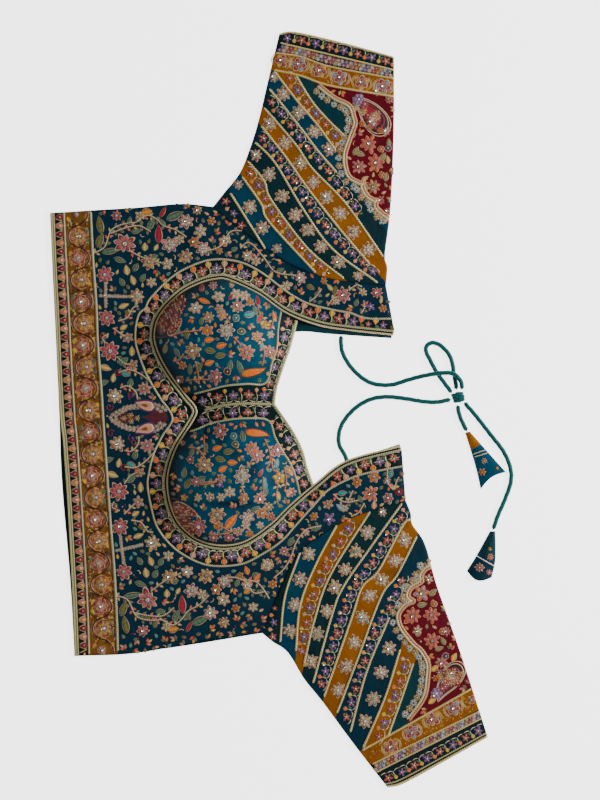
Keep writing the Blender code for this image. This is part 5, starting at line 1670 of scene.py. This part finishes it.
cupLeaves = {
    "Right": {
        "crimson": [
            (-70, 127, 9, 6, 80), (-11.5, 113.5, 12, 5, 100), (-9, 95, 12, 5.5, 60), (-38, 118, 10, 5, 40)],
        "orange": [
            (-61.5, 72.5, 11, 6.5, 10), (-49, 66.5, 12, 7, 15), (-61.5, 48.5, 11, 6.5, 20),
            (-67, 113, 14, 6, -20), (6, 98, 10, 4.5, 110)],
        "olive": [
            (-60.5, 61, 12, 6.5, -10), (-50, 56, 12, 6.5, 10), (-72, 44, 12, 5, 60), (-86, 78, 11, 5, 110),
            (-104, 38, 13, 6, 70), (-108, 64, 12, 5.5, 80)],
        "aqua": [(-19.5, 99, 13, 7.5, 10), (-7, 66, 10, 4.5, 100)],
        "greyGreen": [
            (-40, 46, 12, 6, 80), (-30, 44, 16, 6, 110), (-96, 60, 11, 5, 120), (-82, 42, 12, 5, 90),
            (-14, 104, 12, 5, 110), (-70, 92, 9, 5, 80)],
        "brown": [(-98, 18, 12, 5.5, 90), (-106, 50, 10, 5, 120)],
    },
    "Left": {
        "orange": [
            (-53.5, -40.5, 11, 6.5, 20), (-37.5, -55.5, 11, 6.5, 0), (-47.5, -62, 11, 6.5, 30),
            (-39, -117, 20, 9, 50)],
        "olive": [
            (-41.5, -44, 12, 6.5, 10), (-50, -52, 12, 6.5, -15), (-101, -49, 15, 7, 60),
            (-84, -77, 13, 6.5, 60), (-66, -38, 11, 5, 110)],
        "aqua": [(8.5, -56.5, 11, 5.5, 80), (-4, -78.5, 12, 5.5, 100)],
        "greyGreen": [
            (-3, -87, 10, 5, 60), (-27, -28, 13, 6, 100), (-80, -44, 12, 5, 70), (-88, -66, 12, 6, 80),
            (-14, -104, 12, 5, 30), (-70, -72, 11, 5, 20)],
        "peach": [(22.5, -65.5, 10, 5, 120), (21.5, -87, 10, 5, 60)],
        "brown": [(-96, -59, 13, 6, 110), (-98, -38, 11, 5, 100)],
        "crimson": [(-8, -66, 10, 4.5, 60)],
        "gold": [(10, -90, 10, 5, 110)],
    },
}
cupVines = {
    "Right": [
        [(-102.5, 76), (-90, 80), (-80, 81), (-70, 82)], [(-76.5, 50.5), (-74, 38), (-73, 25.5)],
        [(-87, 29.5), (-74, 31), (-61.5, 30.5)], [(-8.5, 75), (-5, 60), (-7, 45.5)],
        [(-37, 75), (-31, 69), (-29, 64)], [(-12, 110), (-10, 100), (-4, 92)], [(4, 104), (4, 92), (2, 84)],
        [(-40, 90), (-44, 96), (-50, 102)], [(-100, 50), (-92, 52), (-88, 58)]],
    "Left": [
        [(-67.5, -26), (-67.5, -36), (-66.8, -48)], [(-70.5, -77), (-62, -76), (-54, -75.5)],
        [(-4.5, -31), (1, -45), (1, -55.5), (-3, -62)], [(9.5, -77), (8, -92.5), (11, -103)],
        [(-63, -131), (-44.5, -130), (-32, -125)], [(-21.5, -56), (-23, -61)],
        [(-71.5, -78.5), (-62, -78), (-53.5, -75.5)], [(-20, -60), (-18, -55), (-16, -52)],
        [(3, -50), (4, -62), (10, -66)], [(-6, -70), (-6, -86), (-12, -98)],
        [(-84, -40), (-74, -42), (-66, -52)], [(-30, -80), (-26, -86), (-26, -100)],
        [(-60, -118), (-50, -122), (-40, -128)], [(16, -60), (18, -74), (16, -86)]],
}
cupMotifs = {
    "Right": {"rings": [(-33.5, 95, "aqua"), (-28, 81, "olive"), (-43, 39.5, "maroon")],
              "curve": ((-15, 39), 27, 10, 0.2, 0.5),
              "dark": [((-101, 99), 50, 23, 0.98, 0.3), ((-97, 86), 20, 10, 0.85, 0.3)]},
    "Left": {"rings": [(-34.5, -36.5, "olive"), (-36.5, -28, "aqua"), (-60, -92, "maroon")],
             "curve": ((-11, -25), 26, 10, -0.1, -0.5),
             "dark": [((-90, -115), 44, 20, -1.0, -0.3), ((-86, -105), 26, 12, -0.4, -0.3)]},
}


def sewRings(silk, rings, taken):
    for x, y, colour in rings:
        sewFlowers(silk, (x, y), 4.0, petals=6, heart="cream", inner=colour, tips=colour, full=0.1)
        taken.append((x, y, 4.2))


def sewDarkPaisley(silk, zari, number, place, length, width, turn, bend):
    # a brown paisley, with rows of slanting stitches that follow its bow
    sewPaisley(silk, zari, place, length, width, turn, fill="brown", heart=("maroon", "crimson")[number],
               edge="maroon", outline=("brown", "beige")[number], bend=bend, relief=0.9 + 0.6 * number)
    turned = np.array([[math.cos(turn), math.sin(turn)], [-math.sin(turn), math.cos(turn)]])
    for row in range(5 - 2 * number):
        s = np.linspace(-0.38, 0.38, 21 - 8 * number) + 0.012 * row
        reach = width * (row - 2 + number) * (0.17 + 0.03 * number) * np.cos(2.4 * s)
        roots = place + np.stack([length * s, reach], axis=1) @ turned
        ends = roots + np.stack([0 * s + 1.9, 1.5 * (-1.0) ** (np.arange(len(s)) + row)], axis=1) @ turned
        sewStrokes(silk, roots, ends, bulge=0.2, radius=0.5, lift=0.9 + 0.6 * number,
                   colours=["beige", "rose", "brown", "peach", "crimson", "brown", "tan"])


def sewCups():
    ground = heightMap(list(cupTops.values()), step=1.2)
    zari, silk = ("cupZari", ground), ("cupEmbroidery", ground)
    sewCord(zari, centreSeam, radius=1.5, tones="pale sage", pitch=2.2)
    for side, top in cupTops.items():
        taken, hand, motifs = [], handOf(side), cupMotifs[side]
        sewCord(zari, cupBands[side], radius=1.1, tones="pale sage", pitch=2.2)
        sewBorder(silk, sideways(evenly(cupTopEdge[side], 80)[:70], -hand * 7.0), pitch=16.5, start=5.0,
                  size=5.0, budOff=3.0, hand=-hand)
        sewBorder(silk, sideways(evenly(centreSeam + [(-78.0, -2.5)], 80), -hand * 9.5), pitch=16.3,
                  start=8.6, size=5.2, budOff=4.4, hand=-hand, legs=7.0, styles=("purple", "red"))
        sewTable(silk, [(x, y, 1.12 * size, style) for x, y, size, style in cupFlowers[side]], taken)
        sewLeafTable(silk, [cupLeaves[side]], taken)
        sewVines(silk, cupVines[side], "peach brown", ("orange", "aqua", "olive", "gold"), taken)
        taken += [(x, y, 1.4) for vine in cupVines[side] for x, y in evenly(vine, 10)]
        sewRings(silk, motifs["rings"], taken)
        *curve, bend = motifs["curve"]
        sewPaisley(silk, zari, *curve, fill="orange", heart="orange", edge="amber", outline="brown",
                   bend=bend, thick=0.5)
        taken += [(curve[0][0] + k, curve[0][1], 6) for k in (-9, 0, 9)]
        for number, (place, length, width, turn, bend) in enumerate(motifs["dark"]):
            sewDarkPaisley(silk, zari, number, place, length, width, turn, bend)
            taken += keepClear(place, length, turn, (-0.35, 0, 0.35), 0.45 * width)

        def fits(places):
            field = signedTo(evenly(cupBands[side], 80), places) < -4.0
            return field & (distanceTo(cupRails(side)[0], places) > 3.5)

        fillSpare(silk, top, fits, taken, 34, greens=("aqua", "olive", "orange", "greyGreen"))
    shining = [row[:2] for rows in cupFlowers.values() for row in rows if row[2] >= 12.5]
    sewSequins(("cupSequins", ground), shining, 1.4, ["white", "cream"], lift=1.2)


# the large flowers of the wide stripes, by stripe, and those of the cuffs
stripeFlowers = {
    "Right": {
        0: [(-32.3, 235.5), (-19.7, 212.4), (-7.1, 190.3), (8.7, 168.3)],
        2: [
            (-13.4, 267), (0.3, 246.5), (13.9, 223.9), (27.6, 204), (41.2, 188.2), (54.9, 170.4),
            (73.2, 154.6), (93.7, 139.9)],
        4: [
            (1.3, 299.5), (17.1, 279.6), (33.3, 258), (46.5, 238.1), (60.6, 222.3), (74.8, 205),
            (88.5, 186.1), (104.2, 167.2)],
        6: [(5.5, 348.3), (15.5, 330.5), (31.2, 311.1), (47.5, 291.1), (63.8, 272.7)],
    },
    "Left": {
        0: [(46.5, -129.9), (42.3, -152), (32.8, -178.2), (27.6, -205), (22.3, -232.8)],
        2: [
            (118.9, -107.9), (103.8, -128.9), (91.6, -148.8), (80.1, -168.3), (69.6, -186.6), (61.2, -211.8),
            (50.1, -236), (44.4, -264.3)],
        4: [
            (142.5, -136.8), (132.6, -158.8), (118.5, -179.3), (105.8, -195), (98.3, -218.1), (89.5, -244.4),
            (81.1, -269.6), (72.7, -294.8)],
        6: [(126.3, -250.7), (117.9, -275.9), (109.5, -303.2), (101.1, -327.3)],
    },
}
cuffFlowers = {
    "Right": [(13.4, 365.7), (31.8, 361.5), (53.8, 355.2), (74.8, 347.8), (97.4, 342.6), (120, 338.4)],
    "Left": [(128.4, -354.1), (150.4, -338.9), (171.4, -325.2), (193.5, -313.7), (212.4, -304.8)],
}


def sewStripes(work, zari, shine, side):
    cords, hand = [evenly(cord, 80) for cord in stripeCords[side]], handOf(side)
    for cord in cords:
        sewCord(zari, cord, radius=1.2, tones="pale gold", pitch=2.8)
    middles = [(cords[k] + cords[k + 1]) / 2 for k in range(8)]
    styles = ("orangeBig", "goldBig", "creamBig", "oliveBig", "goldBig")
    for number, line in enumerate(middles):
        if number in stripeFlowers[side]:
            at = np.array(stripeFlowers[side][number])
            sewTable(work, [(x, y, 17.0, styles[(k + number) % 5]) for k, (x, y) in enumerate(at)])
            sewFlowers(work, at, 3.4, petals=6, heart="white", inner="cream", relief=1.6,
                       tips=["cream", "peach"], edge=["tan", "cream"])
            sewSequins(shine, at[::2], 1.8, ["white", "cream"], lift=1.8)
        else:
            sewBorder(work, line, pitch=14.0 if number == 3 else 15.5, start=7.0, off=hand, size=5.0,
                      budOff=3.6, hand=-hand, legs=3.2, buds=("orange", "yellow", "peach"), arcs=False)
    # before the first stripe
    sewBorder(work, sideways(cords[0], -hand * 8.5), pitch=15.0, start=5.0, size=4.8, budOff=2.6, hand=-hand,
              legs=0.0)
    return middles


def sewScallops(silk, zari, side):
    # the border round the maroon field: two cords, florets along them and flames on its open side
    wave = everyStep(scallops[side], 1.5)
    for gap, tones in ((-1.4, "cream gold"), (1.4, "peach beige")):
        sewCord(zari, sideways(wave, gap), radius=1.35, tones=tones, pitch=2.4)
    florets, _ = spots(wave, 7.3, 3.0, off=-6.4)
    sewFlowers(silk, florets, 3.8, petals=6, turn=chance.uniform(0, 6, len(florets)), full=0.16,
               heart=["white", "night"], inner=["beige", "white"], tips=["gold", "greyBlue"],
               edge=["tan", "pale"])
    flames, turned = spots(wave, 2.7, 1.5, off=-4.2)
    share = np.arange(len(flames)) / len(flames)
    some = share > 0.72 if side == "Right" else share < 0.36
    sewLeaves(silk, flames[some], 5.6, 2.8, turned[some] - np.pi / 2, fill=["peach", "gold", "sage"],
              edge="tan")


def sewCuff(silk, zari, side):
    # thin cords, a band of flowers, tiny florets, a wide band with medallions
    hem, lines = evenly(cuffs[side], 80), [evenly(cord, 80) for cord in cuffCords[side]]
    if side == "Left":
        hem, lines = hem[::-1], [line[::-1] for line in lines]
    upper, middle, lower = lines
    for line, radius in ((0.93 * hem + 0.07 * upper, 1.0), (upper, 0.9), (middle, 0.9), (lower, 1.1)):
        sewCord(zari, line, radius=radius, tones="straw gold", pitch=2.4)
    if side == "Left":
        sewCord(zari, 0.78 * hem + 0.22 * upper, radius=0.8, tones="pale sage", pitch=2.4)
    sewBorder(silk, (hem + upper) / 2, pitch=15.2, start=8.0, size=5.2, budOff=1.5, hand=-handOf(side),
              legs=4.4, styles=("purple", "red"), buds=("yellow", "orange"), arcs=False)
    for off, start in ((-1.9, 2.0), (1.9, 4.4)):
        at, _ = spots(0.5 * upper + 0.5 * middle, 4.6, start, off=off)
        sewFlowers(silk, at, 2.5, petals=5, turn=chance.uniform(0, 6, len(at)), heart="white",
                   inner=["lilac", "cream", "coral", "yellow", "white"], relief=0.7, full=0.2,
                   tips=["purple", "peach", "crimson", "amber", "greyBlue"],
                   edge=["lilac", "cream", "rose", "tan"])
    # each flower of the wide band between bowed stitches, with gold stitches all about
    at = np.array(cuffFlowers[side])
    sewTable(silk, [(x, y, 17.0, ("cuffGold", "cuffBlue")[k % 2]) for k, (x, y) in enumerate(at)])
    along = unit(middle[-1] - middle[0])
    for lean, size in ((-1, 8.9), (1, 8.9), (-1, 10.3), (1, 10.3)):
        beside, across = at + lean * 0.62 * size * along, 0.78 * size * leftOf(along)
        sewStrokes(silk, beside - across, beside + across, bulge=-lean * 0.28, radius=0.5,
                   colours=["gold", "tan"])
    share, number = chance.uniform(0.1, 0.9, 240)[:, None], chance.integers(2, 78, 240)
    roots = middle[number] * (1 - share) + lower[number] * share
    sewStrokes(silk, roots, roots + 3.0 * towards(chance.uniform(0, 2 * np.pi, len(roots))), bulge=0.3,
               radius=0.4, colours=["gold", "night", "amber", "brown"], lift=-0.25)
    return at


def sewSleeve(side):
    ground = heightMap([sleeves[side][1]])
    zari, silk, shine = (("sleeve" + name + side, ground) for name in ("Zari", "Embroidery", "Sequins"))
    middles = sewStripes(silk, zari, shine, side)
    sewScallops(silk, zari, side)
    at = sewCuff(silk, zari, side)
    sewMaroonField(silk, zari, shine, side)
    glints = np.vstack([spots(line, 19.0, 9.0, off=2.0)[0] for line in middles[1:6:2]])
    sewSequins(shine, glints, 1.3, ["white", "gold", "cream"], lift=1.0)
    sewSequins(shine, at, 1.6, ["cream", "white"], lift=1.3)


maroonFields = {
    "Right": {
        "flowers": [
            (105, 278.5, 17, "orangeCoral"), (94, 254.5, 15, "pinkBeige"), (112.5, 258.5, 16, "orangeCoral"),
            (109.5, 233.5, 15, "goldRed"), (107.5, 302, 13, "redPink"), (117, 219, 10, "crimson"),
            (123, 292, 10, "pinkPurple"), (92, 318, 10, "beige"), (124, 208, 8, "redPink"),
            (126, 325, 9, "pinkBeige"), (113, 334, 9, "beige")],
        "leaves": {
            "sage": [
                (91.5, 271, 11, 6, 60), (96, 268, 11, 6, -20), (120, 265, 10, 6, 60), (88, 287, 9, 5, 30),
                (123, 244, 10, 6, 80), (126, 280, 9, 5, 90), (103, 226, 8, 5, 120)],
            "gold": [(125, 262, 9, 5, 100), (101, 242, 9, 5, 30)],
            "yellow": [(117, 299.5, 9, 6, 90)],
        },
        "rings": [(118, 273, "orange"), (119, 246, "orange"), (125, 274, "purple")],
        "paisley": ((107, 310), 48, 31, 2.23), "lobe": (94.5, 325), "eye": (101, 320),
        "heart": (110, 307)},
    "Left": {
        "flowers": [
            (160, -193, 16, "orangePurple"), (150.5, -217, 17, "orangeCoral"),
            (170.5, -216, 16, "orangeCoral"), (171.5, -243, 17, "orangeCoral"), (181, -266, 12, "pinkBeige"),
            (156, -232, 10, "beige"), (178, -180, 10, "redPink"), (192, -276, 10, "orange"),
            (168, -178, 9, "beige"), (186, -233, 9, "redPink"), (174, -300, 9, "beige")],
        "leaves": {
            "sage": [
                (172.5, -192, 11, 6, 40), (161, -205, 11, 6, 10), (157, -234, 10, 6, 70),
                (183, -243, 10, 5, 120), (179, -251, 10, 5, 20), (196.5, -282, 10, 6, 80),
                (203, -278, 10, 5, 30), (182, -200, 9, 5, 100)],
            "yellow": [(174.5, -271.5, 10, 6, 40), (194.5, -260, 10, 6, 60), (172, -305, 12, 6, 40)],
            "gold": [(186, -218, 10, 5, 80)],
        },
        "rings": [(173.5, -204, "orange"), (182, -233, "orange"), (186, -259, "purple")],
        "paisley": ((188, -286), 44, 26, -2.2), "lobe": (176, -298), "eye": (182, -293),
        "heart": (191, -281)},
}


def sewMaroonField(silk, zari, shine, side):
    field = maroonFields[side]
    place, length, width, turn = field["paisley"]
    for size, fill in ((1.0, "night"), (0.88, "crimson")):
        sewPaisley(silk, zari, place, size * length, size * width, turn, fill=fill, heart=fill, edge=fill,
                   outline="shell", bend=0.35, relief=0.7 + 0.8 * (1 - size), thick=0.5)
    sewFlowers(silk, field["lobe"], 6.6, petals=6, heart="white", inner="lilac", tips="lilac", full=0.12,
               relief=2.0, edge="lilac")
    sewFlowers(silk, field["eye"], 4.2, petals=6, heart="white", inner="pink", tips="red", full=0.1,
               relief=2.4, edge="rose")
    spread = chance.normal(0, 1, (30, 2)) * [8.0, 6.2]
    sewFlowers(silk, field["heart"] + spread, 3.9, petals=6, heart=["yellow", "white", "cream"],
               inner=["orange", "crimson", "beige", "cream"], edge=["shell", "rose", "tan"], relief=1.7,
               tips=["orange", "red", "yellow", "peach", "lilac", "olive"])
    taken = keepClear(place, length, turn, (-0.35, -0.15, 0.15, 0.35), 0.45 * width)
    flowers = [(x, y, 1.15 * size, style) for x, y, size, style in field["flowers"]]
    sewTable(silk, flowers, taken, edge="peach")
    sewLeafTable(silk, [field["leaves"]], taken, edge="shell")
    sewRings(silk, field["rings"], taken)
    top, inside = evenly(cuffCords[side][2], 60), -handOf(side)

    def fits(places):
        return (fieldDepth(side, places) > 4.5) & (inside * signedTo(top, places) > 4.0)

    fillSpare(silk, sleeves[side][1], fits, taken, 24, greens=("sage", "gold", "peach", "amber"))
    sewSequins(shine, [row[:2] for row in field["flowers"]], 1.4, ["white", "cream"], lift=1.4)


# the latkans' print: cords as (places, radius, tones), and flowers
latkanPrint = {
    "Right": {"cords": [([(216, -50), (232, -45)], 0.5, "cream gold"),
                        ([(214.5, -47), (229.5, -42)], 0.5, "cream gold")],
              "flowers": [(224, -66, 8.5, "orange"), (228.5, -77, 9, "orangeCoral"),
                          (236.5, -68, 9, "redPink"), (226, -54.5, 7, "pinkBeige"), (240, -62, 4, "bold")]},
    "Left": {"cords": [([(216.5, -153), (236.5, -164.5)], 0.6, "white cream")],
             "flowers": [(232, -146.5, 4.5, "bold"), (232.5, -155, 8, "orangeCoral"),
                         (221, -166, 10, "pinkBeige"), (231, -171, 8, "redPink")]},
}


def sewLatkans():
    for side, looks in latkanPrint.items():
        silk = ("latkan" + side + "Print", heightMap([latkanTops[side].transpose(1, 0, 2)], step=0.8))
        for line, radius, tones in looks["cords"]:
            sewCord(silk, line, radius=radius, tones=tones, pitch=2.0)
        sewTable(silk, looks["flowers"])
        pourPile(silk[0], "silk")


sewFront()
print("front sewn")
sewCups()
print("cups sewn")
for side in sides:
    sewSleeve(side)
print("sleeves sewn")
for name in list(piles):
    finish = "zari" if "Zari" in name else "sequin" if "Sequins" in name else "silk"
    pourPile(name, finish)
sewLatkans()
print("embroidery poured")
